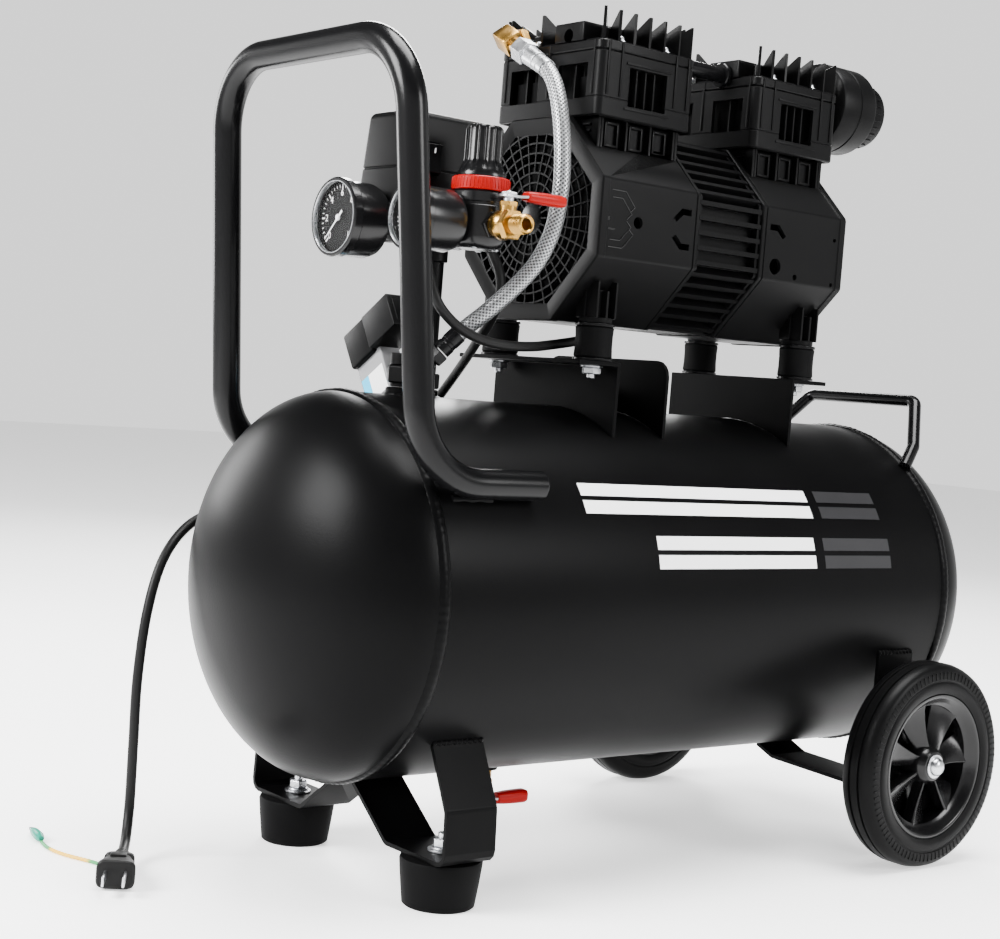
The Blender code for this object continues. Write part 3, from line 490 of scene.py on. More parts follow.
# ---- mesh work -----------------------------------------------------------------------------
class Form:
    """A mesh under construction in the row's frame."""

    def __init__(self) -> None:
        """Start empty."""
        self.mesh = bmesh.new()
        self.paint = 0

    def _keep(self, part: bmesh.types.BMesh, where: Matrix | None) -> "Form":
        """Copy a finished part in, with outward faces and the current paint.

        Args:
            part: The part, which is freed.
            where: Its placement.

        Returns:
            This form.
        """
        if where is not None:
            part.transform(where)
        bmesh.ops.recalc_face_normals(part, faces=part.faces)
        for face in part.faces:
            face.material_index = self.paint
        data = bpy.data.meshes.new("part")
        part.to_mesh(data)
        part.free()
        self.mesh.from_mesh(data)
        bpy.data.meshes.remove(data)
        return self

    def use(self, index: int) -> "Form":
        """Paint what follows with the piece's material of this number."""
        self.paint = index
        return self

    def box(self, low: Point, high: Point, where: Matrix | None = None,
            soft: float = 0.0, segments: int = 3) -> "Form":
        """Add a box with softened edges.

        Args:
            low: Lowest corner. Corners that are swapped on one axis leave the box inside
                out, so that it doesn't cut; slab puts them in order.
            high: Highest corner.
            where: Placement.
            soft: Edge radius.
            segments: Steps round an edge.

        Returns:
            This form.
        """
        part = bmesh.new()
        bmesh.ops.create_cube(part, size=1.0)
        size = Vector(high) - Vector(low)
        middle = (Vector(high) + Vector(low)) / 2
        part.transform(Matrix.Translation(middle) @ Matrix.Diagonal((*size, 1.0)))
        if soft:
            bmesh.ops.bevel(part, geom=part.edges[:], offset=soft, segments=segments, profile=0.5,
                            affect="EDGES", clamp_overlap=True)
        return self._keep(part, where)

    def slab(self, corner: Point, other: Point, soft: float = 0.0) -> "Form":
        """Add a box between any two opposite corners.

        Args:
            corner: One corner.
            other: The corner opposite.
            soft: Edge radius.

        Returns:
            This form.
        """
        low, high = zip(*(sorted(pair) for pair in zip(corner, other)))
        return self.box(low, high, None, soft)

    def bar(self, start: Point, end: Point, radius: float, sides: int = 24,
            tip: float | None = None, soft: float = 0.0) -> "Form":
        """Add a round or many-sided bar.

        Args:
            start: Middle of the first end.
            end: Middle of the last end.
            radius: Radius to the corners.
            sides: Number of sides.
            tip: Radius of the last end.
            soft: Radius of the end edges.

        Returns:
            This form.
        """
        first, last = Vector(start), Vector(end)
        height = (last - first).length
        end_r = radius if tip is None else tip
        if soft:
            profile = [(0, 0), (radius - soft, 0), (radius, soft), (end_r, height - soft),
                       (end_r - soft, height), (0, height)]
            return self.lathe(profile, aimed(first, last - first), sides)
        return self.lathe([(0, 0), (radius, 0), (end_r, height), (0, height)],
                          aimed(first, last - first), sides)

    def post(self, at: Point, low: float, high: float, radius: float, sides: int = 24,
             soft: float = 0.0) -> "Form":
        """Add an upright bar.

        Args:
            at: Its place in plan.
            low: Height of its first end.
            high: Height of its last end.
            radius: Radius to the corners.
            sides: Number of sides.
            soft: Radius of the end edges.

        Returns:
            This form.
        """
        return self.bar((*at, low), (*at, high), radius, sides, soft=soft)

    def lathe(self, profile: Sequence[Point], where: Matrix, steps: int = 48,
              closed: bool = False, wave: Callable[[float], float] | None = None) -> "Form":
        """Add a turned shape.

        Args:
            profile: (radius, height) points.
            where: Placement whose Z is the turning axis.
            steps: Steps round the axis.
            closed: True for a ring, whose profile closes on itself.
            wave: Change of radius, as a share, at an angle.

        Returns:
            This form.
        """
        part = bmesh.new()
        rows = []
        for radius, height in profile:
            if radius < 1e-7:
                rows.append([part.verts.new((0, 0, height))])
                continue
            row = []
            for turn in around(steps):
                size = radius * (1 + (wave(turn) if wave else 0.0))
                row.append(part.verts.new((size * math.cos(turn), size * math.sin(turn), height)))
            rows.append(row)
        pairs = list(zip(rows, rows[1:])) + ([(rows[-1], rows[0])] if closed else [])
        for upper, lower in pairs:
            for i in range(steps):
                corners = [upper[i % len(upper)], upper[(i + 1) % len(upper)],
                           lower[(i + 1) % len(lower)], lower[i % len(lower)]]
                unique = list(dict.fromkeys(corners))
                if len(unique) > 2:
                    part.faces.new(unique)
        return self._keep(part, where)

    def loops(self, rings: Sequence[Sequence[Point]], closed: bool = True,
              caps: bool = False) -> "Form":
        """Add a skin over rings of points.

        Args:
            rings: Rings with the same number of points.
            closed: True if the last ring meets the first.
            caps: True to fill the first and last ring.

        Returns:
            This form.
        """
        part = bmesh.new()
        rows = [[part.verts.new(p) for p in ring] for ring in rings]
        pairs = list(zip(rows, rows[1:])) + ([(rows[-1], rows[0])] if closed else [])
        for upper, lower in pairs:
            for i in range(len(upper)):
                j = (i + 1) % len(upper)
                part.faces.new((upper[i], upper[j], lower[j], lower[i]))
        if caps:
            part.faces.new(rows[0])
            part.faces.new(rows[-1])
        return self._keep(part, None)

    def prism(self, outline: Sequence[Point], low: float, high: float,
              where: Matrix | None = None) -> "Form":
        """Add a flat outline with a thickness.

        Args:
            outline: Flat points.
            low: Lower height.
            high: Upper height.
            where: Placement.

        Returns:
            This form.
        """
        part = bmesh.new()
        floor = [part.verts.new((p[0], p[1], low)) for p in outline]
        roof = [part.verts.new((p[0], p[1], high)) for p in outline]
        part.faces.new(floor)
        part.faces.new(roof)
        for i in range(len(floor)):
            j = (i + 1) % len(floor)
            part.faces.new((floor[i], floor[j], roof[j], roof[i]))
        return self._keep(part, where)

    def pipe(self, points: Sequence[Vector], radius: float | Callable[[float], float],
             sides: int = 20) -> "Form":
        """Add a round tube along a line.

        Args:
            points: The line.
            radius: Radius, or radius at a share of the line.
            sides: Sides of the tube.

        Returns:
            This form.
        """
        rings = []
        last = len(points) - 1
        for i, (spot, (_, side, up)) in enumerate(zip(points, frames(points))):
            size = radius(i / last) if callable(radius) else radius
            rings.append([spot + size * (math.cos(a) * side + math.sin(a) * up)
                          for a in around(sides)])
        return self.loops(rings, closed=False, caps=True)

    def piece(self, name: str, *paints: Paint, edge: float = 0.0) -> bpy.types.Object:
        """Close the form into an object.

        Args:
            name: The piece's name.
            paints: Its materials in order.
            edge: Width of softened sharp edges.

        Returns:
            The object.
        """
        data = bpy.data.meshes.new(name)
        self.mesh.to_mesh(data)
        self.mesh.free()
        made = bpy.data.objects.new(name, data)
        bpy.context.scene.collection.objects.link(made)
        for paint in paints:
            data.materials.append(paint.material)
        data.shade_smooth()
        data.set_sharp_from_angle(angle=SHARP)
        if edge:
            soften(made, edge)
        return made


def soften(target: bpy.types.Object, width: float) -> None:
    """Round an object's sharp edges with a modifier.

    Args:
        target: The object.
        width: Width of the rounding.
    """
    step = target.modifiers.new("soft_edges", "BEVEL")
    step.width = width
    step.segments = 2
    step.limit_method = "ANGLE"
    step.angle_limit = SHARP
    step.harden_normals = True


def carve(target: bpy.types.Object, tool: Form) -> None:
    """Cut a form out of a piece for good.

    Args:
        target: The piece.
        tool: What is cut away.

    Raises:
        ValueError: If the cut leaves less than half of the faces.
    """
    cutter = tool.piece("cutter", Paint.PIT)
    step = target.modifiers.new("cut", "BOOLEAN")
    step.operation = "DIFFERENCE"
    step.solver = "EXACT"
    step.use_self = True
    step.object = cutter
    bpy.context.view_layer.update()
    solid = target.evaluated_get(bpy.context.evaluated_depsgraph_get())
    mesh = bpy.data.meshes.new_from_object(solid)
    if len(mesh.polygons) < len(target.data.polygons) // 2:
        raise ValueError(f"cutting {target.name} left {len(mesh.polygons)} faces")
    target.modifiers.clear()
    target.data = mesh
    mesh.shade_smooth()
    mesh.set_sharp_from_angle(angle=SHARP)
    bpy.data.objects.remove(cutter, do_unlink=True)


@dataclass
class Assembly:
    """A group of pieces with its sizes."""

    frame: dict[str, Any]

    def fit(self, piece: bpy.types.Object, stands_for: Iterable[str] = (), slot: str = "",
            body: str = "root") -> bpy.types.Object:
        """Mount a piece on a body of the frame.

        Args:
            piece: The piece, in place.
            stands_for: CAD nodes that it replaces.
            slot: The record's material slot. Not used.
            body: The body that it rides on.

        Returns:
            The piece.
        """
        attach(piece, body)
        nodes = tuple(stands_for)
        if nodes:
            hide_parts(*nodes)
        LOG.info("%s rides on %s", piece.name, body)
        return piece

    def dress(self, node: str, paint: Paint, edge: float = 0.0) -> None:
        """Give a CAD node that stays a finish and softened edges.

        Args:
            node: The node's name.
            paint: Its finish.
            edge: Width of its softened edges.
        """
        part = self.frame["nodes"][node]
        for holder in part.material_slots:
            holder.material = paint.material
        if not part.material_slots:
            part.data.materials.append(paint.material)
        if edge:
            weld = part.modifiers.new("weld", "WELD")
            weld.merge_threshold = 0.00001
            soften(part, edge)
        LOG.info("%s is dressed in %s", node, paint.value.name)


# ---- tank, wheels and handles --------------------------------------------------------------
@dataclass
class Tank(Assembly):
    """Welded tank with its bosses and a plain two-tone stripe."""

    radius: float = 0.13
    axis_z: float = 0.1977
    seam: float = 0.2456          # half of the straight barrel
    dome: float = 0.0764          # depth of a dished end
    bead: float = 0.0017          # height of a weld bead
    boss: float = 0.0105

    def build(self) -> None:
        """Make the shell with its weld beads, its bosses and its stripe."""
        axis = aimed((0, 0, self.axis_z), (1, 0, 0))
        turns = [math.radians(a) for a in range(0, 91, 3)]
        end = [(self.radius * math.sin(t), self.seam + self.dome * math.cos(t)) for t in turns]
        end[0] = (0.0, end[0][1])
        form = Form().lathe(end + [(r, -x) for r, x in reversed(end)], axis, 160)
        for side in (-1, 1):
            ring = [(self.radius - 0.002 + (0.002 + self.bead) * math.sin(math.radians(a)),
                     side * self.seam + 0.0052 * math.cos(math.radians(a)))
                    for a in range(0, 181, 20)]
            form.lathe(ring + [(self.radius - 0.003, side * self.seam)], axis, 480, closed=True,
                       wave=lambda t: 0.0014 * math.sin(t * 150) + 0.0008 * math.sin(t * 37))
        top, floor = self.axis_z + self.radius, self.axis_z - self.radius
        for x, y, base, tip in ((-0.168, 0.015, top - 0.006, top + 0.005),
                                (-0.198, 0.0, top - 0.006, top + 0.005),
                                (-0.1, 0.0, floor - 0.004, floor + 0.006)):
            form.lathe([(0, base), (self.boss, base), (self.boss, tip - 0.001),
                        (self.boss - 0.001, tip), (0, tip)], Matrix.Translation((x, y, 0)), 40)
            middle = tip - 0.0062 if tip > self.axis_z else base + 0.0062
            bead = [(self.boss + 0.0022 * math.cos(math.radians(a)),
                     middle + 0.0022 * math.sin(math.radians(a))) for a in range(0, 360, 45)]
            form.lathe(bead, Matrix.Translation((x, y, 0)), 60, closed=True,
                       wave=lambda t: 0.025 * math.sin(t * 19))
        self.fit(form.piece("tank_shell", Paint.POWDER), ["air_tank"], "powder_coat")
        self.stripes()

    def stripes(self) -> None:
        """Two plain printed bars on each side of the barrel, white then grey."""
        for word, side in (("right", -1), ("left", 1)):
            form = Form()
            for row, (start, split, end) in enumerate(((-0.122, 0.112, 0.178),
                                                       (-0.063, 0.106, 0.181))):
                low = 28.5 - row * 16.8
                for paint, (x0, x1) in enumerate(((start, split - 0.01), (split, end))):
                    form.use(paint)
                    for lift in (0.0, 5.8):
                        self.band(form, side, (x0, x1), low + lift, low + lift + 4.2)
            self.fit(form.piece(f"tank_stripe_{word}", Paint.WHITE, Paint.GREY))

    def band(self, form: Form, side: int, span: Point, low: float, high: float) -> None:
        """Add one printed bar that follows the barrel.

        Args:
            form: The stripe's form.
            side: -1 or 1, the side along Y.
            span: Its ends along X.
            low: Lower edge, in degrees above the tank's axis.
            high: Upper edge.
        """
        rows = []
        for i in range(5):
            turn = math.radians(low + (high - low) * i / 4)
            y, z = side * math.cos(turn), math.sin(turn)
            rows.append([(x, y * r, self.axis_z + z * r) for x in span
                         for r in (self.radius + 0.00012, self.radius - 0.0005)])
        rings = [[row[0], row[2], row[3], row[1]] for row in rows]
        form.loops(rings, closed=False, caps=True)


@dataclass
class Handles(Assembly):
    """The carrying loop, the rear lifting rod and the welds that hold them."""

    tube: float = 0.0098
    spread: float = 0.1166
    rod: float = 0.005
    skin: float = 0.1302          # radius at which the beads lie on the tank

    def build(self) -> None:
        """Make both handles with their weld beads."""
        half = [(-0.166, self.spread, 0.2768), (-0.2617, self.spread, 0.2768),
                (-0.288, 0.1075, 0.547)]
        line = half + [(x, -y, z) for x, y, z in reversed(half)]
        form = Form().pipe(filleted(line, 0.05, 18), self.tube, 36)
        self.fit(form.piece("carry_loop", Paint.TUBE, edge=0.0008), ["carry_handle"], "gloss_tube")
        foot = [(0.242, 0.083, 0.3), (0.256, 0.079, 0.316), (0.2825, 0.056, 0.353)]
        line = foot + [(x, -y, z) for x, y, z in reversed(foot)]
        form = Form().pipe(filleted(line, 0.009, 10), self.rod, 28)
        self.fit(form.piece("rear_lifting_rod", Paint.TUBE), ["rear_handle"], "gloss_tube")
        beads = Form()
        for side in (-1, 1):
            for rough, degrees in ((0.9, 32.0), (1.08, 36.5)):
                turn = math.radians(degrees)
                y, z = side * self.skin * math.cos(turn), 0.1977 + self.skin * math.sin(turn)
                spots = [Vector((-0.2 - i * 0.0014, y, z)) for i in range(24)]
                beads.pipe(spots, lambda t: 0.0022 + 0.0004 * math.sin(t * 160) * rough, 10)
        self.fit(beads.piece("handle_weld_beads", Paint.POWDER), (), "powder_coat")


@dataclass
class Wheel(Assembly):
    """A solid-tyred wheel on its bolt, at either side."""

    side: int = -1
    radius: float = 0.078
    rim: float = 0.0552
    inner: float = 0.138
    outer: float = 0.168
    spokes: int = 7

    @property
    def word(self) -> str:
        """The side's name."""
        return "right" if self.side < 0 else "left"

    def build(self) -> None:
        """Make the tyre, the rim with its blades and the bolt."""
        low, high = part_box(f"tyre_{self.word}")
        middle = (low + high) / 2
        spin = aimed((middle.x, middle.y, middle.z), (0, self.side, 0))
        body = f"wheel_{self.word}"
        self.tyre(spin, body)
        self.hub_and_blades(spin, body)
        self.bolt(middle)

    def tyre(self, spin: Matrix, body: str) -> None:
        """Make the tyre with two tread grooves and a ticked sidewall.

        Args:
            spin: The wheel's placement.
            body: The body that it rides on.
        """
        half = (self.outer - self.inner) / 2
        side = [(self.rim + 0.0003, half - 0.0016), (0.0585, half - 0.0004), (0.063, half),
                (0.064, half - 0.0004), (0.0646, half - 0.0009), (0.0655, half - 0.0009),
                (0.0662, half - 0.0004), (0.0705, half - 0.0003), (0.0738, half - 0.0013),
                (0.0762, half - 0.0034), (0.0774, half - 0.0062), (self.radius, half - 0.0088)]
        groove = [(self.radius, 0.0052), (0.0766, 0.0048), (0.0766, 0.0034), (self.radius, 0.003)]
        line = side + groove
        form = Form().lathe(line + [(r, -h) for r, h in reversed(line)], spin, 144, closed=True)
        for turn in turned(spin, 96):
            form.box((0.0668, -0.0004, half - 0.0008), (0.0722, 0.0004, half - 0.00002), turn)
        self.fit(form.piece(f"ribbed_tyre_{self.word}", Paint.TYRE), [f"tyre_{self.word}"], "tyre",
                 body)

    def hub_and_blades(self, spin: Matrix, body: str) -> None:
        """Make the dished rim, its blades and its hub.

        Args:
            spin: The wheel's placement.
            body: The body that it rides on.
        """
        lip = [(self.rim, 0.0128), (self.rim - 0.0006, 0.0135), (0.053, 0.0135), (0.0518, 0.0128),
               (0.0492, 0.0085), (0.047, 0.007), (0.0455, 0.006), (0.0455, -0.01),
               (0.047, -0.0128), (0.05, -0.0135), (self.rim, -0.0135)]
        form = Form().lathe(lip, spin, 120, closed=True)
        hub = [(0.0054, 0.0128), (0.01, 0.013), (0.0112, 0.0126), (0.0122, 0.0112),
               (0.014, 0.0092), (0.015, 0.006), (0.015, -0.017), (0.014, -0.018),
               (0.0054, -0.018)]
        form.lathe(hub, spin, 60, closed=True)
        web = [(0.014, -0.0112), (0.0462, -0.0112), (0.0462, -0.009), (0.014, -0.009)]
        form.lathe(web, spin, 72, closed=True)
        stations = ((0.012, 0.0046, 0.0035), (0.0175, 0.005, 0.0026), (0.026, 0.0068, 0.0014),
                    (0.035, 0.009, 0.0008), (0.042, 0.011, 0.001), (0.0475, 0.0128, 0.0022))
        section = [(-1, -0.9), (-0.9, -1), (0.9, -1), (1, -0.9), (1, -0.55), (0.92, -0.42),
                   (0.35, 0.12), (0, 0.42), (-0.4, 0.78), (-0.88, 1.05), (-1, 0.9)]
        for turn in turned(spin, self.spokes, math.radians(12)):
            rings = [[turn @ Vector((r, wide * u, lift + 0.005 * v)) for u, v in section]
                     for r, wide, lift in stations]
            form.loops(rings, closed=False, caps=True)
        self.fit(form.piece(f"bladed_rim_{self.word}", Paint.SMOOTH, edge=0.0004),
                 [f"rim_{self.word}"], "black_plastic", body)

    def bolt(self, middle: Vector) -> None:
        """Make the axle bolt with its domed cap, washer and nuts.

        Args:
            middle: The wheel's middle.
        """
        axis = aimed((middle.x, 0, middle.z), (0, self.side, 0))
        dome = [(0.0, 0.1725), (0.003, 0.1722), (0.0052, 0.1712), (0.0066, 0.1694),
                (0.007, 0.1672), (0.0072, 0.1671), (0.009, 0.167), (0.009, 0.1661),
                (0.005, 0.1661), (0.005, 0.115), (0.0, 0.115)]
        form = Form().lathe(dome, axis, 48)
        for near, far in ((0.115, 0.1222), (0.1278, 0.1345)):
            form.bar((middle.x, self.side * near, middle.z), (middle.x, self.side * far, middle.z),
                     0.009, 6, soft=0.0008)
        form.lathe([(0.005, 0.1222), (0.0102, 0.1222), (0.0102, 0.1233), (0.005, 0.1233)], axis,
                   40, closed=True)
        self.fit(form.piece(f"axle_cap_bolt_{self.word}", Paint.ZINC, edge=FINE),
                 [f"axle_bolt_{self.word}"], "zinc")


@dataclass
class Legs(Assembly):
    """Front straps with their rubber feet, and the wheel brackets."""

    foot_y: float = 0.087
    leg_x: float = -0.2

    def build(self) -> None:
        """Dress the straps and make the feet and their screws."""
        for side, word in SIDES:
            self.dress(f"front_leg_{word}", Paint.POWDER, EDGE)
            self.dress(f"wheel_bracket_{word}", Paint.POWDER, EDGE)
            self.foot(side, word)
            beads = Form()
            for low, high, y, z in ((-0.2205, -0.1795, 0.0946, 0.1086),
                                    (0.177, 0.217, 0.1246, 0.1585)):
                spots = [Vector((low + (high - low) * i / 40, side * y, z)) for i in range(41)]
                beads.pipe(spots, lambda t: 0.002 + 0.0006 * math.sin(t * 61), 10)
            self.fit(beads.piece(f"strap_weld_beads_{word}", Paint.POWDER), (), "powder_coat")

    def foot(self, side: int, word: str) -> None:
        """Make one tapered foot, its screw, washers and nut.

        Args:
            side: -1 or 1, the side along Y.
            word: The side's name.
        """
        top = 0.0317
        at = (self.leg_x, side * self.foot_y)
        where = Matrix.Translation((*at, 0))
        rubber = [(0.008, 0.0), (0.0228, 0.0), (0.024, 0.001), (0.0262, 0.018),
                  (0.0274, top - 0.0022), (0.0268, top - 0.0006), (0.0255, top), (0.0, top),
                  (0.0, 0.008), (0.008, 0.008)]
        form = Form().lathe(rubber, where, 72, closed=True)
        self.fit(form.piece(f"rubber_foot_{word}", Paint.RUBBER), [f"foot_{word}"], "black_rubber")
        steel = Form()
        steel.lathe([(0.0045, 0.0352), (0.0095, 0.0352), (0.0095, 0.0366), (0.0045, 0.0366)], where,
                    48, closed=True)
        steel.lathe([(0.0035, 0.0366), (0.0072, 0.0366), (0.0076, 0.0374), (0.007, 0.0382),
                     (0.0035, 0.0382)], where, 48, closed=True)
        steel.post(at, 0.0382, 0.044, 0.0068, 6, 0.0008)
        steel.post(at, 0.03, 0.0475, 0.0031, 24, 0.0006)
        self.fit(steel.piece(f"foot_screw_{word}", Paint.ZINC, edge=FINE), (), "zinc")


# ---- motor ---------------------------------------------------------------------------------
@dataclass
class MotorMounts(Assembly):
    """Saddles across the tank and the rubber isolators on them."""

    spread: float = 0.052
    places: tuple[float, float] = (-0.0725, 0.138)
    flange: float = 0.3615

    def build(self) -> None:
        """Dress the saddles and make the isolators."""
        for node in ("front_motor_bracket", "rear_motor_bracket"):
            self.dress(node, Paint.POWDER, EDGE)
        for x, end in zip(self.places, ("front", "rear")):
            for side, word in SIDES:
                self.isolator(x, side * self.spread, f"{end}_{word}")

    def isolator(self, x: float, y: float, word: str) -> None:
        """Make one isolator, its washers and its nut.

        Args:
            x: Position along the tank.
            y: Position across it.
            word: Which one it is.
        """
        where = Matrix.Translation((x, y, 0))
        low, top = self.flange + 0.0003, 0.388
        rubber = [(0.0, low + 0.0016), (0.0128, low + 0.0016), (0.0136, low + 0.003),
                  (0.0132, low + 0.009), (0.0132, top - 0.009), (0.0136, top - 0.0034),
                  (0.0128, top - 0.0022), (0.0, top - 0.0022)]
        form = Form().lathe(rubber, where, 56)
        self.fit(form.piece(f"isolator_block_{word}", Paint.RUBBER), [f"isolator_{word}"],
                 "black_rubber")
        caps = Form().lathe([(0.0, top - 0.0022), (0.014, top - 0.0022), (0.014, top - 0.0004),
                             (0.0132, top), (0.0, top)], where, 56)
        caps.lathe([(0.0, low), (0.014, low), (0.014, low + 0.0016), (0.0, low + 0.0016)],
                   where, 56)
        self.fit(caps.piece(f"isolator_plates_{word}", Paint.TUBE, edge=FINE), (), "powder_coat")
        under = self.flange - 0.0033
        nut = Form().lathe([(0.003, under - 0.001), (0.0078, under - 0.001), (0.0078, under),
                            (0.003, under)], where, 40, closed=True)
        nut.post((x, y), under - 0.006, under - 0.001, 0.007, 6, soft=0.0007)
        nut.post((x, y), under - 0.009, under, 0.003, 20, soft=0.0005)
        self.fit(nut.piece(f"isolator_nut_{word}", Paint.ZINC, edge=FINE), (), "zinc")


@dataclass
class FanShroud(Assembly):
    """One eight-sided motor end cover with its web grille."""

    end: str = "front"
    away: int = -1                # direction of its grille along X
    open_x: float = -0.0003
    face_x: float = -0.0957
    seat_x: float = -0.0442       # middle of its cylinder
    axis_z: float = 0.4597
    wall: float = 0.003
    flat: float = 0.03
    half: float = 0.074
    corners_z: tuple[float, float, float, float] = (0.388, 0.433, 0.4866, 0.5305)
    lip: float = 0.0075
    feet: tuple[float, float] = (-0.0725, 0.052)
    spokes: int = 36

    def section(self, grow: float = 0.0, fillet: float = 0.004) -> list[Vector]:
        """The octagon in Y and Z with rounded corners.

        Args:
            grow: How far it is moved outward.
            fillet: Corner radius.

        Returns:
            Flat points.
        """
        shift = grow * math.tan(math.radians(22.5))
        z0, z1, z2, z3 = self.corners_z
        ring = [(self.flat + shift, z0 - grow), (self.half + grow, z1 - shift),
                (self.half + grow, z2 + shift), (self.flat + shift, z3 + grow)]
        ring += [(-y, z) for y, z in reversed(ring)]
        middle = ((ring[-1][0] + ring[0][0]) / 2, ring[0][1])
        line = filleted([(*p, 0) for p in [middle, *ring, middle]], max(fillet + grow, 0.0008), 4)
        return [Vector((p.x, p.y)) for p in line[:-1]]

    def ring(self, x: float, grow: float) -> list[Point]:
        """One station of the skin in the frame.

        Args:
            x: Its place along the motor.
            grow: How far outside the octagon it is.

        Returns:
            Points.
        """
        return [(x, p.x, p.y) for p in self.section(grow)]

    def build(self) -> None:
        """Make the shell, cut its openings and add its grille and fittings."""
        self.shell()
        self.grille()
        self.badges()

    def shell(self) -> None:
        """Make the hollow shell with its lips, feet and openings."""
        a, face, start = self.away, self.face_x, self.open_x
        form = Form()
        stations = [(start, -0.0006), (start + a * 0.0006, 0.0), (start + a * 0.003, 0.0),
                    (start + a * 0.0034, -0.0008), (start + a * 0.0042, -0.0008),
                    (start + a * 0.0046, 0.0), (face - a * self.lip, 0.0),
                    (face - a * (self.lip - 0.0008), 0.0008), (face - a * 0.001, 0.0008),
                    (face, -0.0002), (face, -0.0105), (face - a * 0.0008, -0.0118),
                    (face - a * self.wall, -0.0118), (face - a * self.wall, -self.wall),
                    (start, -self.wall)]
        form.loops([self.ring(x, g) for x, g in stations])
        made = form.piece(f"{self.end}_fan_cover", Paint.PLASTIC)
        carve(made, self.openings())
        soften(made, 0.0004)
        self.fit(made, [f"{self.end}_shroud"], "black_plastic")
        feet = Form()
        x, spread = self.feet
        for side in (-1, 1):
            for turn in (0, 90):
                spin = Matrix.Translation((x, side * spread, 0)) @ Matrix.Rotation(
                    math.radians(turn), 4, "Z")
                feet.box((-0.0115, -0.001, 0.3884), (0.0115, 0.001, 0.4105), spin, 0.0003)
            feet.lathe([(0, 0.3884), (0.0117, 0.3884), (0.0117, 0.3915), (0.0105, 0.3922),
                        (0.0062, 0.3924), (0.0055, 0.411), (0, 0.411)],
                       Matrix.Translation((x, side * spread, 0)), 48)
            for shift in (-0.0085, 0.0085):
                feet.box((x + shift - 0.0009, side * spread - 0.011, 0.3915),
                         (x + shift + 0.0009, side * spread + 0.011, 0.417), None, 0.0003)
        self.fit(feet.piece(f"{self.end}_cover_feet", Paint.PLASTIC), (), "black_plastic")
        self.baffles()

    def baffles(self) -> None:
        """Make dark walls behind the slots and the fan: painted shade that keeps the openings from
        showing through.
        """
        near, far = self.open_x + self.away * 0.0045, self.open_x + self.away * 0.031
        form = Form()
        for side in (-1, 1):
            # painted shade: near-black sheets behind the slots and a disc behind the fan
            form.slab((near, side * 0.0615, 0.433), (far, side * 0.063, 0.486), 0.0003)
        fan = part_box(f"{self.end}_fan")
        x = fan[1].x + 0.0035 if self.away < 0 else fan[0].x - 0.0035
        form.lathe([(0.013, -0.0005), (0.046, -0.0005), (0.046, 0.0005), (0.013, 0.0005)],
                   aimed((x, 0, self.axis_z), (1, 0, 0)), 60, closed=True)
        self.fit(form.piece(f"{self.end}_cover_baffles", Paint.PIT), (), "black_plastic")

    def openings(self) -> Form:
        """The cylinder's seat, the cooling slots and the screw holes.

        Returns:
            One cutter for them all.
        """
        cut = Form()
        gap = 0.0003
        cut.box((self.seat_x - 0.0393, -0.0503, 0.508 + gap), (self.seat_x + 0.0393, 0.0503, 0.56))
        depth = (0.068, 0.08)
        for side in (-1, 1):
            flip = Matrix.Diagonal((1, side, 1, 1)) @ Matrix.Rotation(math.pi / 2, 4, "X")
            span = (-depth[1], -depth[0])
            for mirror in (1, -1) if self.away < 0 else (1,):
                cut.prism(self.slot(mirror), *span, flip)
            for x, z, r in self.holes():
                spot = (x, side * depth[0], z)
                cut.bar(spot, (x, side * depth[1], z), r, 28)
        return cut

    def slot(self, mirror: int) -> list[Point]:
        """Outline of one bent cooling slot in X and Z.

        Args:
            mirror: 1 for the upper slot, -1 for the lower.

        Returns:
            Flat points.
        """
        from_open = [(0.0085, 0.0145), (0.018, 0.0145), (0.026, 0.007), (0.0225, 0.0045),
                     (0.0165, 0.01), (0.0085, 0.01)]
        return [(self.open_x + self.away * u, self.axis_z + mirror * v) for u, v in from_open]

    def holes(self) -> list[tuple[float, float, float]]:
        """Round holes in a side wall.

        Returns:
            (x, z, radius) of each.
        """
        if self.away < 0:
            return [(-0.0597, 0.459, 0.0042), (-0.0871, 0.4593, 0.0016)]
        return [(0.0818, 0.4434, 0.006), (0.1041, 0.4375, 0.0022), (0.1455, 0.4697, 0.0016),
                (0.1455, 0.4358, 0.0016)]

    def boundary(self, turn: float) -> float:
        """Distance from the axis to the window's edge.

        Args:
            turn: Angle round the axis.

        Returns:
            The distance.
        """
        y, z = math.cos(turn), math.sin(turn)
        grow = -0.01
        limits = [(self.half + grow) / max(abs(y), 1e-9)]
        roof = (self.corners_z[3] if z > 0 else self.corners_z[0]) - self.axis_z
        limits.append((abs(roof) + grow) / max(abs(z), 1e-9))
        knee = (self.corners_z[2] if z > 0 else self.corners_z[1]) - self.axis_z
        run, rise = self.half - self.flat, abs(roof) - abs(knee)
        size = math.hypot(run, rise)
        normal = (rise / size, run / size)
        reach = (self.half * normal[0] + abs(knee) * normal[1]) + grow
        limits.append(reach / max(abs(y) * normal[0] + abs(z) * normal[1], 1e-9))
        return min(limits)

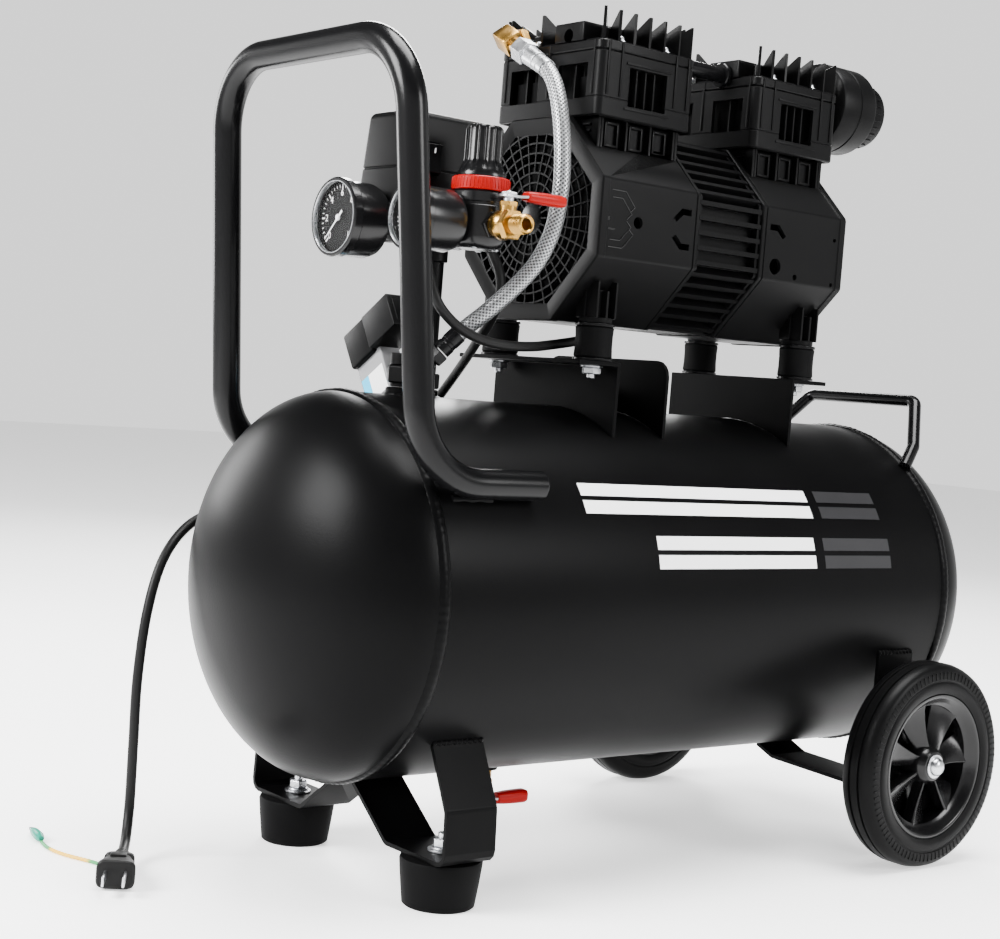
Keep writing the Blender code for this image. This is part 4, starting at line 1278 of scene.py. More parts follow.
    def grille(self) -> None:
        """Make the spider-web of fine spokes and rings."""
        x = self.face_x - self.away * 0.0016
        form = Form()
        centre = Vector((x, 0, self.axis_z))
        form.lathe([(0, -0.0012), (0.0105, -0.0012), (0.0118, -0.0004), (0.0118, 0.0008),
                    (0.0105, 0.0014), (0, 0.0018)], aimed(centre, (self.away, 0, 0)), 48)
        for i, turn in enumerate(around(self.spokes)):
            reach = self.boundary(turn) + 0.0025
            start = 0.011 if i % 2 == 0 else 0.033
            mid = (start + reach) / 2
            half = (reach - start) / 2
            spin = Matrix.Translation(centre) @ Matrix.Rotation(turn, 4, "X") @ Matrix.Translation(
                (0, mid, 0))
            form.box((-0.0013, -half, -0.00055), (0.0013, half, 0.00055), spin)
        for radius in (0.0185, 0.0255, 0.0325, 0.0395, 0.0465, 0.0535, 0.0605):
            self.web_ring(form, centre, radius)
        self.fit(form.piece(f"{self.end}_web_grille", Paint.SMOOTH), (), "black_plastic")

    def web_ring(self, form: Form, centre: Vector, radius: float) -> None:
        """Add one ring of the web, broken where it would leave the window.

        Args:
            form: The grille's form.
            centre: The web's middle.
            radius: The ring's radius.
        """
        steps = 144
        inside = [self.boundary(2 * math.pi * i / steps) + 0.001 > radius for i in range(steps)]
        start = 0 if all(inside) else next(i for i in range(steps)
                                           if inside[i] and not inside[i - 1])
        run: list[Point] = []
        for k in range(steps + 1):
            i = (start + k) % steps
            if inside[i]:
                turn = 2 * math.pi * i / steps
                run.append((math.cos(turn), math.sin(turn)))
            if (not inside[i] or k == steps) and len(run) > 2:
                rings = [[centre + Vector((dx, y * (radius + dr), z * (radius + dr)))
                          for dx, dr in ((-0.0011, -0.0006), (0.0011, -0.0006), (0.0011, 0.0006),
                                         (-0.0011, 0.0006))] for y, z in run]
                form.loops(rings, closed=False, caps=True)
            if not inside[i]:
                run = []

    def badges(self) -> None:
        """Raised chevron lines, a bar and screws on each side wall."""
        form = Form()
        chevrons = ((0.0865, 0.0195, 0.0735), (0.0855, 0.0145, 0.076)) if self.away < 0 else ()
        for side in (-1, 1):
            y = side * (self.half + 0.0001)
            for near, high, knee in chevrons:
                for mirror in (1, -1):
                    shape = [(-near, y, self.axis_z + mirror * high),
                             (-knee, y, self.axis_z + mirror * high),
                             (-knee + 0.0095, y, self.axis_z + mirror * (high - 0.01)),
                             (-knee + 0.005, y, self.axis_z + mirror * (high - 0.014))]
                    for p, q in zip(shape, shape[1:]):
                        form.bar(p, q, 0.00042, 6)
            if self.away < 0:
                form.box((-0.088, y - 0.0003, 0.4515), (-0.081, y + 0.0003, 0.453))
                form.bar((-0.0871, side * 0.0715, 0.4593), (-0.0871, side * 0.0738, 0.4593),
                         0.0015, 20)
            else:
                for z in (0.4697, 0.4545, 0.4358):
                    form.box((0.15, y - 0.0003, z - 0.004), (0.152, y + 0.0003, z + 0.004))
        self.fit(form.piece(f"{self.end}_cover_marks", Paint.SMOOTH), (), "black_plastic")


@dataclass
class Stator(Assembly):
    """Finned housing between the two fan covers."""

    span: tuple[float, float] = (0.0, 0.0647)
    fin: float = 0.0034
    pitch: float = 0.0108

    def build(self) -> None:
        """Make the eight-sided core and its lengthwise fins."""
        cover = FanShroud(self.frame)
        core = [(p.x, p.y) for p in cover.section(-0.0085, 0.0)]
        along_x = Matrix(((0, 0, 1, 0), (1, 0, 0, 0), (0, 1, 0, 0), (0, 0, 0, 1)))
        form = Form().prism(core, self.span[0] + 0.0004, self.span[1] - 0.0004, along_x)
        z0, z1, z2, z3 = cover.corners_z
        corners = [(cover.flat, z0), (cover.half, z1), (cover.half, z2), (cover.flat, z3)]
        corners += [(-y, z) for y, z in reversed(corners)]
        for p, q in zip(corners, corners[1:] + corners[:1]):
            start, end = Vector((0, *p)), Vector((0, *q))
            run = end - start
            out = Vector((0, run.z, -run.y)).normalized()
            count = max(3, round(run.length / self.pitch))
            for i in range(count):
                spot = start + run * ((i + 0.5) / count) - out * 0.001
                spin = Matrix.Translation(spot) @ Matrix((
                    (1, 0, 0, 0), (0, run.normalized().y, out.y, 0),
                    (0, run.normalized().z, out.z, 0), (0, 0, 0, 1)))
                form.box((self.span[0] + 0.0004, -self.fin / 2, -0.009),
                         (self.span[1] - 0.0004, self.fin / 2, 0.0), spin)
        for x0, x1 in ((self.span[0] + 0.0004, self.span[0] + 0.003),
                       (self.span[1] - 0.003, self.span[1] - 0.0004)):
            outline = [(p.x, p.y) for p in cover.section(-0.0022)]
            form.prism(outline, x0, x1, along_x)
        self.fit(form.piece("finned_stator", Paint.CASTING), ["stator_housing"], "black_alloy")
        self.dress("rotor_shaft", Paint.ZINC)
        for node in ("front_fan", "rear_fan"):
            self.dress(node, Paint.SMOOTH)


# ---- pump ----------------------------------------------------------------------------------
@dataclass
class Pump(Assembly):
    """One cylinder: neck, windowed cover, finned head and piston."""

    end: str = "front"
    at: float = -0.0442
    half: float = 0.0455
    wide: float = 0.056
    cover_z: tuple[float, float] = (0.531, 0.577)
    seam_z: float = 0.544
    neck_z: float = 0.5083
    bore: float = 0.026
    lid: float = 0.008
    top: float = 0.6062

    def outline(self, grow: float = 0.0, fillet: float = 0.0055) -> list[tuple[float, float]]:
        """The head's rounded rectangle in plan.

        Args:
            grow: How far it is moved outward.
            fillet: Corner radius.

        Returns:
            Flat points.
        """
        x, y = self.half + grow, self.wide + grow
        corners = [(0, -y, 0), (x, -y, 0), (x, y, 0), (-x, y, 0), (-x, -y, 0), (0, -y, 0)]
        return [(self.at + p.x, p.y) for p in filleted(corners, max(fillet + grow, 0.001), 6)[:-1]]

    def build(self) -> None:
        """Make every piece of the cylinder."""
        self.neck()
        self.cover()
        self.head()
        self.screws()
        self.dress(f"{self.end}_piston", Paint.ALLOY)

    def neck(self) -> None:
        """Make the ribbed block below the cover and the sleeve inside it."""
        low, high = self.neck_z, self.cover_z[0] - 0.0004
        form = Form()
        sleeve = [(self.bore, 0.5767), (0.03, 0.5767), (0.03, 0.496), (self.bore, 0.496)]
        form.use(1).lathe(sleeve, Matrix.Translation((self.at, 0, 0)), 72, closed=True).use(0)
        made = self.neck_walls(low, high)
        for side in (-1, 1):
            for u in (-0.0345, -0.0115, 0.0115, 0.0345):
                form.box((self.at + u - 0.0011, side * 0.0455, low),
                         (self.at + u + 0.0011, side * 0.05, high), None, 0.0003)
            for u in (-0.0372, 0.0372):
                form.box((self.at + u - 0.0013, side * 0.044, low),
                         (self.at + u + 0.0013, side * 0.05, high), None, 0.0003)
            for u in (-0.023, 0.0, 0.023):
                self.window_frame(form, self.at + u, side, low, high)
            for z in (0.512, 0.5165, 0.521, 0.5255):
                form.box((self.at + side * 0.0392, -0.042, z), (self.at + side * 0.037, 0.042,
                                                                 z + 0.0016), None, 0.0003)
        ribs = form.piece(f"{self.end}_neck_ribs", Paint.CASTING, Paint.PLASTIC)
        self.fit(ribs, (), "black_alloy")
        self.fit(made, [f"{self.end}_cylinder"], "black_alloy")

    def neck_walls(self, low: float, high: float) -> bpy.types.Object:
        """Make the neck's hollow block.

        Args:
            low: Its lower edge.
            high: Its upper edge.

        Returns:
            The piece.
        """
        x, y = 0.0375, 0.045
        rings = []
        for grow, z in ((0.0, low), (0.0, high), (-0.003, high), (-0.003, low)):
            rings.append([(self.at + sx * (x + grow), sy * (y + grow), z)
                          for sx, sy in ((-1, -1), (1, -1), (1, 1), (-1, 1))])
        made = Form().loops(rings).piece(f"{self.end}_neck_walls", Paint.CASTING)
        cut = Form()
        for side in (-1, 1):
            for u in (-0.023, 0.0, 0.023):
                cut.box((self.at + u - 0.005, side * 0.04, low + 0.005),
                        (self.at + u + 0.005, side * 0.06, high - 0.003))
        carve(made, cut)
        soften(made, 0.0003)
        return made

    def window_frame(self, form: Form, x: float, side: int, low: float, high: float) -> None:
        """Add a raised frame round one neck window.

        Args:
            form: The ribs' form.
            x: Middle of the window.
            side: -1 or 1, the side along Y.
            low: Lower edge of the neck.
            high: Upper edge of the neck.
        """
        near, far = side * 0.044, side * 0.0475
        for dx0, dx1, z0, z1 in ((-0.0066, -0.0048, low + 0.0035, high - 0.0015),
                                 (0.0048, 0.0066, low + 0.0035, high - 0.0015),
                                 (-0.0048, 0.0048, low + 0.0035, low + 0.0052),
                                 (-0.0048, 0.0048, high - 0.0032, high - 0.0015)):
            form.slab((x + dx0, near, z0), (x + dx1, far, z1), 0.0002)

    def cover(self) -> None:
        """Make the two-part windowed cover."""
        low, high = self.cover_z
        rings = [[(*p, z) for p in self.outline(g)] for g, z in (
            (-0.001, low), (0.0, low + 0.001), (0.0, self.seam_z - 0.0005),
            (-0.0007, self.seam_z - 0.0003), (-0.0007, self.seam_z + 0.0003),
            (-0.0001, self.seam_z + 0.0006), (-0.0001, high - 0.0012), (-0.0008, high - 0.0004),
            (-0.003, high - 0.0004), (-0.003, low))]
        made = Form().loops(rings).piece(f"{self.end}_window_cover", Paint.PLASTIC)
        carve(made, self.windows())
        soften(made, 0.0004)
        self.fit(made, [f"{self.end}_cylinder_cover"], "black_plastic")
        ribs = Form()
        for side in (-1, 1):
            y = side * (self.wide - 0.0028)
            for u in (-0.0085, 0.0, 0.0085):
                ribs.slab((self.at + u - 0.0007, y, 0.54),
                          (self.at + u + 0.0007, y - side * 0.01, 0.568), 0.0002)
            ribs.slab((self.at - 0.0185, y - side * 0.006, 0.544),
                      (self.at + 0.0185, y - side * 0.0075, 0.5625))
            x = self.at + side * (self.half - 0.0028)
            for v in (-0.0265, 0.0265):
                ribs.slab((x, v - 0.0007, 0.54), (x - side * 0.007, v + 0.0007, 0.568), 0.0002)
                ribs.slab((x - side * 0.0045, v - 0.016, 0.545),
                          (x - side * 0.006, v + 0.016, 0.56))
        for side in (-1, 1):
            y = side * self.wide
            for u in (-0.0385, -0.0262, 0.0262, 0.0385):
                ribs.slab((self.at + u - 0.001, y, 0.546),
                          (self.at + u + 0.001, y + side * 0.0007, high + 0.006), 0.0002)
            x = self.at + side * self.half
            for v in (-0.048, 0.0, 0.048):
                ribs.slab((x, v - 0.001, 0.546),
                          (x + side * 0.0005, v + 0.001, high + 0.006), 0.0002)
            for low_z, high_z in ((0.5376, 0.5392), (0.569, 0.5706)):
                ribs.slab((self.at - 0.0215, y, low_z),
                          (self.at + 0.0215, y + side * 0.0007, high_z), 0.0002)
        # painted shade: a near-black sheet inside the cover that makes the windows read dark
        inner, skin = -0.0118, -0.0128
        liner = Form().loops([[(*p, z) for p in self.outline(g)] for g, z in (
            (inner, low + 0.0012), (inner, high - 0.0012), (skin, high - 0.0012),
            (skin, low + 0.0012))])
        self.fit(liner.piece(f"{self.end}_window_shade_liner", Paint.PIT), (), "black_plastic")
        self.fit(ribs.piece(f"{self.end}_window_ribs", Paint.PLASTIC), (), "black_plastic")

    def windows(self) -> Form:
        """The cover's windows on its four sides.

        Returns:
            One cutter for them all.
        """
        cut = Form()
        for side in (-1, 1):
            y = side * self.wide
            cut.slab((self.at - 0.018, y - side * 0.01, 0.5405),
                     (self.at + 0.018, y + side * 0.01, 0.5675))
            x = self.at + side * self.half
            for v in (-0.0265, 0.0265):
                cut.slab((x - side * 0.01, v - 0.0155, 0.544),
                         (x + side * 0.01, v + 0.0155, 0.568))
        return cut

    def head(self) -> None:
        """Make the lid, its raised chest, its bosses and its radiating fins."""
        low = self.cover_z[1]
        lid = low + self.lid
        form = Form()
        rings = [[(*p, z) for p in self.outline(g)] for g, z in (
            (-0.0008, low), (0.0, low + 0.0008), (0.0, lid - 0.0022), (-0.0008, lid - 0.0014),
            (-0.003, lid - 0.001), (-0.0034, lid), )]
        form.loops(rings, closed=False, caps=True)
        chest = [[(*p, z) for p in self.outline(g, 0.02)] for g, z in (
            (-0.015, lid - 0.0006), (-0.0155, lid + 0.01), (-0.017, lid + 0.0115),
            (-0.0215, lid + 0.0118))]
        form.loops(chest, closed=False, caps=True)
        crown = lid + 0.0114
        for v in (-0.024, -0.008, 0.008, 0.024):
            form.box((self.at - 0.02, v - 0.0009, crown - 0.001),
                     (self.at + 0.02, v + 0.0009, crown + 0.0022), None, 0.0004)
        for u in (-0.02, 0.0, 0.02):
            form.box((self.at + u - 0.0009, -0.028, crown - 0.001),
                     (self.at + u + 0.0009, 0.028, crown + 0.0016), None, 0.0004)
        form.post((self.at, 0), crown - 0.001, crown + 0.003, 0.0062, 36, soft=0.0005)
        for side in (-1, 1):
            x = self.at + side * self.half
            form.slab((x, -0.035, lid - 0.001), (x - side * 0.02, -0.004, 0.5975), 0.001)
        for spot, aim, height in self.fins():
            self.fin(form, spot, aim, height)
        made = form.piece(f"{self.end}_finned_head", Paint.CASTING)
        if self.end == "front":
            cut = Form()
            for side in (-1, 1):
                x = self.at + side * self.half
                cut.bar((x - side * 0.008, -0.019, 0.5882), (x + side * 0.004, -0.019, 0.5882),
                        0.0048, 28)
            carve(made, cut)
        soften(made, 0.0003)
        self.fit(made, [f"{self.end}_cylinder_head"], "black_alloy")

    def fins(self) -> list[tuple[Vector, Vector, float]]:
        """Plan of the fins.

        Returns:
            Where each fin starts, where it aims, and its share of the full height.
        """
        found = []
        x, y = self.half - 0.0016, self.wide - 0.0016
        for sx in (-1, 1):
            for sy in (-1, 1):
                spot = Vector((sx * (x - 0.0012), sy * (y - 0.0012), 0))
                found.append((spot, Vector((-sx * 0.8, -sy * 0.8, 0)), 1.0))
        for side in (-1, 1):
            for u in (-0.029, -0.0145, 0.0, 0.0145, 0.029):
                spot = Vector((u, side * y, 0))
                found.append((spot, Vector((-u * 0.55, -side * 0.04, 0)), 0.97))
            for v in (0.0125, 0.048) if side < 0 else (-0.043, 0.0125, 0.036):
                spot = Vector((side * x, v, 0))
                found.append((spot, Vector((-side * 0.04, -v * 0.35, 0)), 1.0))
        return found

    def fin(self, form: Form, spot: Vector, aim: Vector, height: float) -> None:
        """Add one thin fin, tall at the rim and sloping inward.

        Args:
            form: The head's form.
            spot: Its outer end in plan, from the head's middle.
            aim: Its direction.
            height: Share of the full height.
        """
        lid = self.cover_z[1] + self.lid - 0.0012
        tall = (self.top - lid) * height
        side = [(0.0, 0.0), (0.0, tall), (0.0016, tall), (0.015, tall * 0.6),
                (0.02, tall * 0.56), (0.02, 0.0)]
        along = aim.normalized()
        across = Vector((-along.y, along.x, 0))
        turn = Matrix(((along.x, 0, across.x, self.at + spot.x), (along.y, 0, across.y, spot.y),
                       (0, 1, 0, lid), (0, 0, 0, 1)))
        form.prism(side, -0.0011, 0.0011, turn)

    def screws(self) -> None:
        """Make the head's cap screws between the fins."""
        lid = self.cover_z[1] + self.lid
        form = Form()
        for sx in (-1, 1):
            for sy in (-1, 1):
                for u, v in ((0.0215, self.wide - 0.009), (self.half - 0.008, 0.023)):
                    x, y = self.at + sx * u, sy * v
                    if abs(y) < 0.04 and sy < 0:
                        continue
                    form.lathe([(0, lid - 0.002), (0.0044, lid - 0.002), (0.0044, lid + 0.0008),
                                (0.003, lid + 0.0008), (0.003, lid + 0.003),
                                (0.0024, lid + 0.004), (0.0016, lid + 0.0042),
                                (0.0013, lid + 0.003), (0, lid + 0.003)],
                               Matrix.Translation((x, y, 0)), 28)
        self.fit(form.piece(f"{self.end}_head_screws", Paint.ZINC), (), "zinc")


@dataclass
class Intake(Assembly):
    """Air filter on the rear head, and the tube between the two heads."""

    axis: tuple[float, float] = (-0.022, 0.579)
    start: float = 0.1573

    def build(self) -> None:
        """Make the ribbed filter and the crossover tube."""
        y, z = self.axis
        where = aimed((0, y, z), (1, 0, 0))
        body = [(0, self.start), (0.0095, self.start), (0.0095, 0.1645), (0.0312, 0.165),
                (0.033, 0.166), (0.0338, 0.168), (0.0338, 0.184), (0.0331, 0.1846),
                (0.0331, 0.1856), (0.0338, 0.1862), (0.0338, 0.201), (0.033, 0.2034),
                (0.0312, 0.2046), (0.0262, 0.205), (0.0256, 0.206), (0.026, 0.2075),
                (0.026, 0.2195), (0.025, 0.2232), (0.0225, 0.2248), (0.012, 0.225),
                (0.0118, 0.2236), (0, 0.2236)]
        form = Form().lathe(body, where, 96)
        for turn in turned(where, 28):
            form.box((0.0255, -0.0007, 0.207), (0.0268, 0.0007, 0.2185), turn, 0.0003)
        self.fit(form.piece("ribbed_air_filter", Paint.PLASTIC), ["intake_filter"], "black_plastic")
        low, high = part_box("crossover_tube")
        y, z = (low.y + high.y) / 2, (low.z + high.z) / 2
        pipe = Form().bar((low.x, y, z), (high.x, y, z), 0.006, 40)
        for x in (low.x + 0.0001, high.x - 0.0046):
            collar = [(0.0055, 0), (0.0088, 0), (0.0094, 0.0008), (0.0094, 0.0034),
                      (0.008, 0.0045), (0.0055, 0.0045)]
            pipe.lathe(collar, aimed((x, y, z), (1, 0, 0)), 44, closed=True)
        self.fit(pipe.piece("crossover_pipe", Paint.TUBE), ["crossover_tube"], "black_alloy")


# ---- air path ------------------------------------------------------------------------------
HOSE_ROUTE = (
    (-0.1068, -0.0098, 0.5673), (-0.1078, -0.021, 0.561), (-0.11, -0.0335, 0.548),
    (-0.113, -0.0445, 0.528), (-0.115, -0.052, 0.503), (-0.117, -0.056, 0.476),
    (-0.1195, -0.054, 0.448), (-0.125, -0.047, 0.426), (-0.135, -0.04, 0.4095),
    (-0.149, -0.03, 0.3915), (-0.164, -0.0185, 0.374), (-0.1745, -0.011, 0.36),
)


@dataclass
class DeliveryLine(Assembly):
    """Brass elbow, braided hose and the tank's check valve."""

    hose: float = 0.0054
    sides: int = 110
    relief: float = 0.00055       # height of a bundle
    bundles: int = 11             # bundles that wind each way
    lay: float = 0.033           # length of one turn of the braid
    knee: tuple[float, float, float] = (-0.1045, 0.031, 0.588)
    nose: tuple[float, float, float] = (-0.106, 0.004, 0.5745)
    valve: tuple[float, float] = (-0.198, 0.0)

    def build(self) -> None:
        """Make the elbow, the braid with its end sleeves, and the valve."""
        self.elbow()
        self.braid()
        self.check_valve()

    def elbow(self) -> None:
        """Make the forged elbow, its zinc swivel nut and its neck."""
        knee, nose = Vector(self.knee), Vector(self.nose)
        down = (nose - knee).normalized()
        form = Form()
        form.bar((-0.0899, knee.y, knee.z), (-0.0965, knee.y, knee.z), 0.01, 6, soft=0.0008)
        form.bar((-0.096, knee.y, knee.z), knee, 0.0064, 32)
        turn = aimed(knee, down, 45)
        form.box((-0.0074, -0.0074, -0.0078), (0.0074, 0.0074, 0.0105), turn, 0.0018, 2)
        form.bar(knee + down * 0.01, nose, 0.0058, 32)
        self.fit(form.piece("brass_elbow", Paint.BRASS, edge=0.0003), ["delivery_elbow"], "brass")
        nut = Form().bar(nose - down * 0.0125, nose + down * 0.002, 0.0092, 6, soft=0.0009)
        nut.bar(nose + down * 0.002, nose + down * 0.0148, 0.0072, 36, tip=0.0068, soft=0.0005)
        self.fit(nut.piece("elbow_swivel_nut", Paint.ZINC, edge=FINE), (), "zinc")

    def braid(self) -> None:
        """Make the woven hose: crossing strand bundles raised from a fine skin."""
        step_length = 0.0005
        line = flowing(HOSE_ROUTE, step_length)
        length = line_length(line)
        rings, run = [], 0.0
        rises: list[float] = []
        for i, (spot, (_, side, up)) in enumerate(zip(line, frames(line))):
            run += (spot - line[i - 1]).length if i else 0.0
            ring = []
            for turn in around(self.sides):
                rise = self.weave(turn, run)
                rises.append(rise / self.relief)
                ring.append(spot + (self.hose + rise) * (math.cos(turn) * side
                                                         + math.sin(turn) * up))
            rings.append(ring)
        form = Form().loops(rings, closed=False, caps=True)
        made = form.piece("braided_hose", Paint.STEEL)
        made.data.shade_smooth()
        share = made.data.attributes.new("braid", "FLOAT", "POINT")
        share.data.foreach_set("value", rises)
        made.data.materials[0] = braid_wire()
        self.fit(made, ["delivery_hose"], "steel_braid")
        ends = ((0, 1, 0.012, "upper_hose_sleeve", Paint.STEEL, "zinc"),
                (len(line) - 1, -1, 0.017, "lower_hose_sleeve", Paint.TUBE, "black_alloy"))
        for at, step, long, name, paint, slot in ends:
            spots = [line[at + step * i] for i in range(int(long / step_length))]
            sleeve = Form().pipe(spots, lambda t: 0.0065 - 0.0004 * (0.35 < t < 0.5), 40)
            self.fit(sleeve.piece(name, paint), (), slot)
        LOG.info("hose line is %.3f m long", length)

    def weave(self, turn: float, run: float) -> float:
        """Height of the braid above the hose's skin.

        Args:
            turn: Angle round the hose.
            run: Distance along it.

        Returns:
            The height.
        """
        phase = 2 * math.pi * run / self.lay
        over = self.bundles * (turn + phase) / 2
        under = self.bundles * (turn - phase) / 2
        first, second = abs(math.cos(over)), abs(math.cos(under))
        lead = 0.5 + 0.5 * math.sin(2 * over) * math.sin(2 * under)
        return self.relief * max(first * (0.55 + 0.45 * lead), second * (1.0 - 0.45 * lead))

    def check_valve(self) -> None:
        """Make the hexagonal valve, its side arm and its hose nut."""
        x, y = self.valve
        end = Vector(HOSE_ROUTE[-1])
        aim = (end - Vector(HOSE_ROUTE[-2])).normalized()
        form = Form().post((x, y), 0.3332, 0.336, 0.0078, 36)
        form.post((x, y), 0.3355, 0.3475, 0.011, 6, soft=0.001)
        form.post((x, y), 0.3475, 0.356, 0.0088, 36, soft=0.0008)
        form.bar(end + aim * 0.008, (x, y, 0.344), 0.006, 32)
        self.fit(form.piece("blackened_check_valve", Paint.CASTING, edge=0.0003), ["check_valve"],
                 "black_alloy")
        nut = Form().bar(end + aim * 0.0008, end + aim * 0.0088, 0.0082, 6, soft=0.0008)
        self.fit(nut.piece("check_valve_hose_nut", Paint.TUBE, edge=FINE), (), "black_alloy")


def braid_wire() -> bpy.types.Material:
    """Bright wire bundles over gaps painted dark from the height of the weave: painted shade
    between the bundles.

    Returns:
        The material.
    """
    sheet = NodeSheet("woven_braid_wire")
    height = sheet.add("ShaderNodeAttribute", {"attribute_name": "braid"}, {}, "Fac")
    # painted shade: where the weave is low the colour falls to near black
    proud = height.over(0.74, 0.2)
    sheen = sheet.noise(420.0, 2.0)
    colour = sheet.blend(proud, (0.018, 0.018, 0.019), Paint.STEEL.value.colour)
    return sheet.finish(Base_Color=colour, Roughness=0.26 + sheen * 0.14,
                        Metallic=0.35 + proud * 0.6)


# ---- controls ------------------------------------------------------------------------------
@dataclass
class Manifold(Assembly):
    """Riser from the tank and the cross pipe behind the gauges."""

    riser: tuple[float, float] = (-0.168, 0.015)
    level: float = 0.441
    branch: float = -0.189

    def build(self) -> None:
        """Make the pipework with its collars."""
        x, y = self.riser
        z = self.level
        form = Form().post((x, y), 0.3332, z, 0.008, 40)
        form.post((x, y), 0.3332, 0.344, 0.0118, 6, soft=0.001)
        form.post((x, y), 0.421, 0.43, 0.0102, 40, soft=0.0008)
        form.bar((-0.218, 0, z), (-0.156, 0, z), 0.011, 48, soft=0.0016)
        form.bar((-0.217, 0, z), (-0.209, 0, z), 0.0134, 6, soft=0.001)
        form.bar((self.branch, 0, z + 0.0013), (self.branch, -0.041, z + 0.0013), 0.008, 40)
        form.bar((self.branch, -0.03, z + 0.0013), (self.branch, -0.038, z + 0.0013), 0.0112, 6,
                 soft=0.001)
        form.post((self.branch, 0), z, 0.457, 0.006, 36)
        self.fit(form.piece("cast_air_manifold", Paint.CASTING, edge=0.0003), ["air_manifold"],
                 "black_alloy")


@dataclass
class SwitchBox(Assembly):
    """Pressure switch under its soft-edged cover, with its rocker and gland."""

    x: tuple[float, float] = (-0.23, -0.143)
    y: tuple[float, float] = (-0.03, 0.025)
    z: tuple[float, float] = (0.4535, 0.516)
    seam: float = 0.478
    lean: float = 0.0035
    edge: float = 0.0052
    rocker: tuple[float, float] = (-0.208, 0.485)

    def ring(self, z: float, grow: float) -> list[Point]:
        """A rounded rectangle at one height of the tapered cover.

        Args:
            z: The height.
            grow: How far it is moved outward.

        Returns:
            Points.
        """
        share = (z - self.z[0]) / (self.z[1] - self.z[0])
        inset = self.lean * share - grow
        x0, x1, y0, y1 = (self.x[0] + inset, self.x[1] - inset, self.y[0] + inset,
                          self.y[1] - inset)
        mid = (x0 + x1) / 2
        corners = [(mid, y0, z), (x1, y0, z), (x1, y1, z), (x0, y1, z), (x0, y0, z), (mid, y0, z)]
        return filleted(corners, max(self.edge + grow, 0.0008), 6)[:-1]

    def build(self) -> None:
        """Make the cover with its seam, then its rocker and gland."""
        low, high = self.z
        stations = [(low, -0.003), (low + 0.0006, -0.001), (low + 0.002, 0.0)]
        stations += [(self.seam - 0.0008, 0.0), (self.seam - 0.0004, -0.0009),
                     (self.seam + 0.0004, -0.0009), (self.seam + 0.0008, 0.0)]
        for i in range(9):
            turn = math.radians(90 * i / 8)
            stations.append((high - self.edge * (1 - math.sin(turn)),
                             -self.edge * (1 - math.cos(turn))))
        form = Form().loops([self.ring(z, g) for z, g in stations], closed=False, caps=True)
        made = form.piece("switch_cover", Paint.PLASTIC)
        x, z = self.rocker
        carve(made, Form().box((x - 0.007, -0.05, z - 0.011), (x + 0.007, -0.021, z + 0.011)))
        soften(made, 0.0004)
        self.fit(made, ["pressure_switch_cover"], "black_plastic")
        self.gland()
        self.rocker_cap()

    def gland(self) -> None:
        """Make the ribbed strain relief that the mains cord leaves through."""
        exit_point = Vector(CORD_ROUTE[0])
        aim = Vector((0.55, 0.0, -0.84)).normalized()
        back = Vector((-0.152, -0.012, self.z[0] + 0.0015))
        run = (exit_point - back).length
        profile = [(0.0, 0.0), (0.0078, 0.0), (0.0078, 0.004)]
        for i in range(5):
            at = 0.005 + i * (run - 0.006) / 5
            size = 0.0066 - 0.0004 * i
            profile += [(size, at), (size, at + 0.002), (size - 0.0011, at + 0.0024),
                        (size - 0.0011, at + 0.0034)]
        profile += [(0.0042, run - 0.0006), (0.0, run - 0.0006)]
        form = Form().lathe(profile, aimed(back, aim), 40)
        self.fit(form.piece("cord_strain_relief", Paint.RUBBER), (), "black_plastic")

    def rocker_cap(self) -> None:
        """Make the rocker, curved in the middle, on its own body."""
        x, z = self.rocker
        rings = []
        for i in range(9):
            dx = -0.006 + 0.012 * i / 8
            ring = [(x + dx, -0.024, z - 0.0094), (x + dx, -0.024, z + 0.0094)]
            for k in range(13):
                v = 0.0094 - 0.0188 * k / 12
                ring.append((x + dx, -0.0322 - 0.0013 * (abs(v) / 0.0094) ** 1.5, z + v))
            rings.append(ring)
        form = Form().loops(rings, closed=False, caps=True)
        form.use(1).box((x - 0.0005, -0.0332, z + 0.0035), (x + 0.0005, -0.0322, z + 0.007))
        self.fit(form.piece("power_rocker", Paint.SMOOTH, Paint.WHITE, edge=0.0004),
                 ["power_switch"], "black_plastic", "rocker")


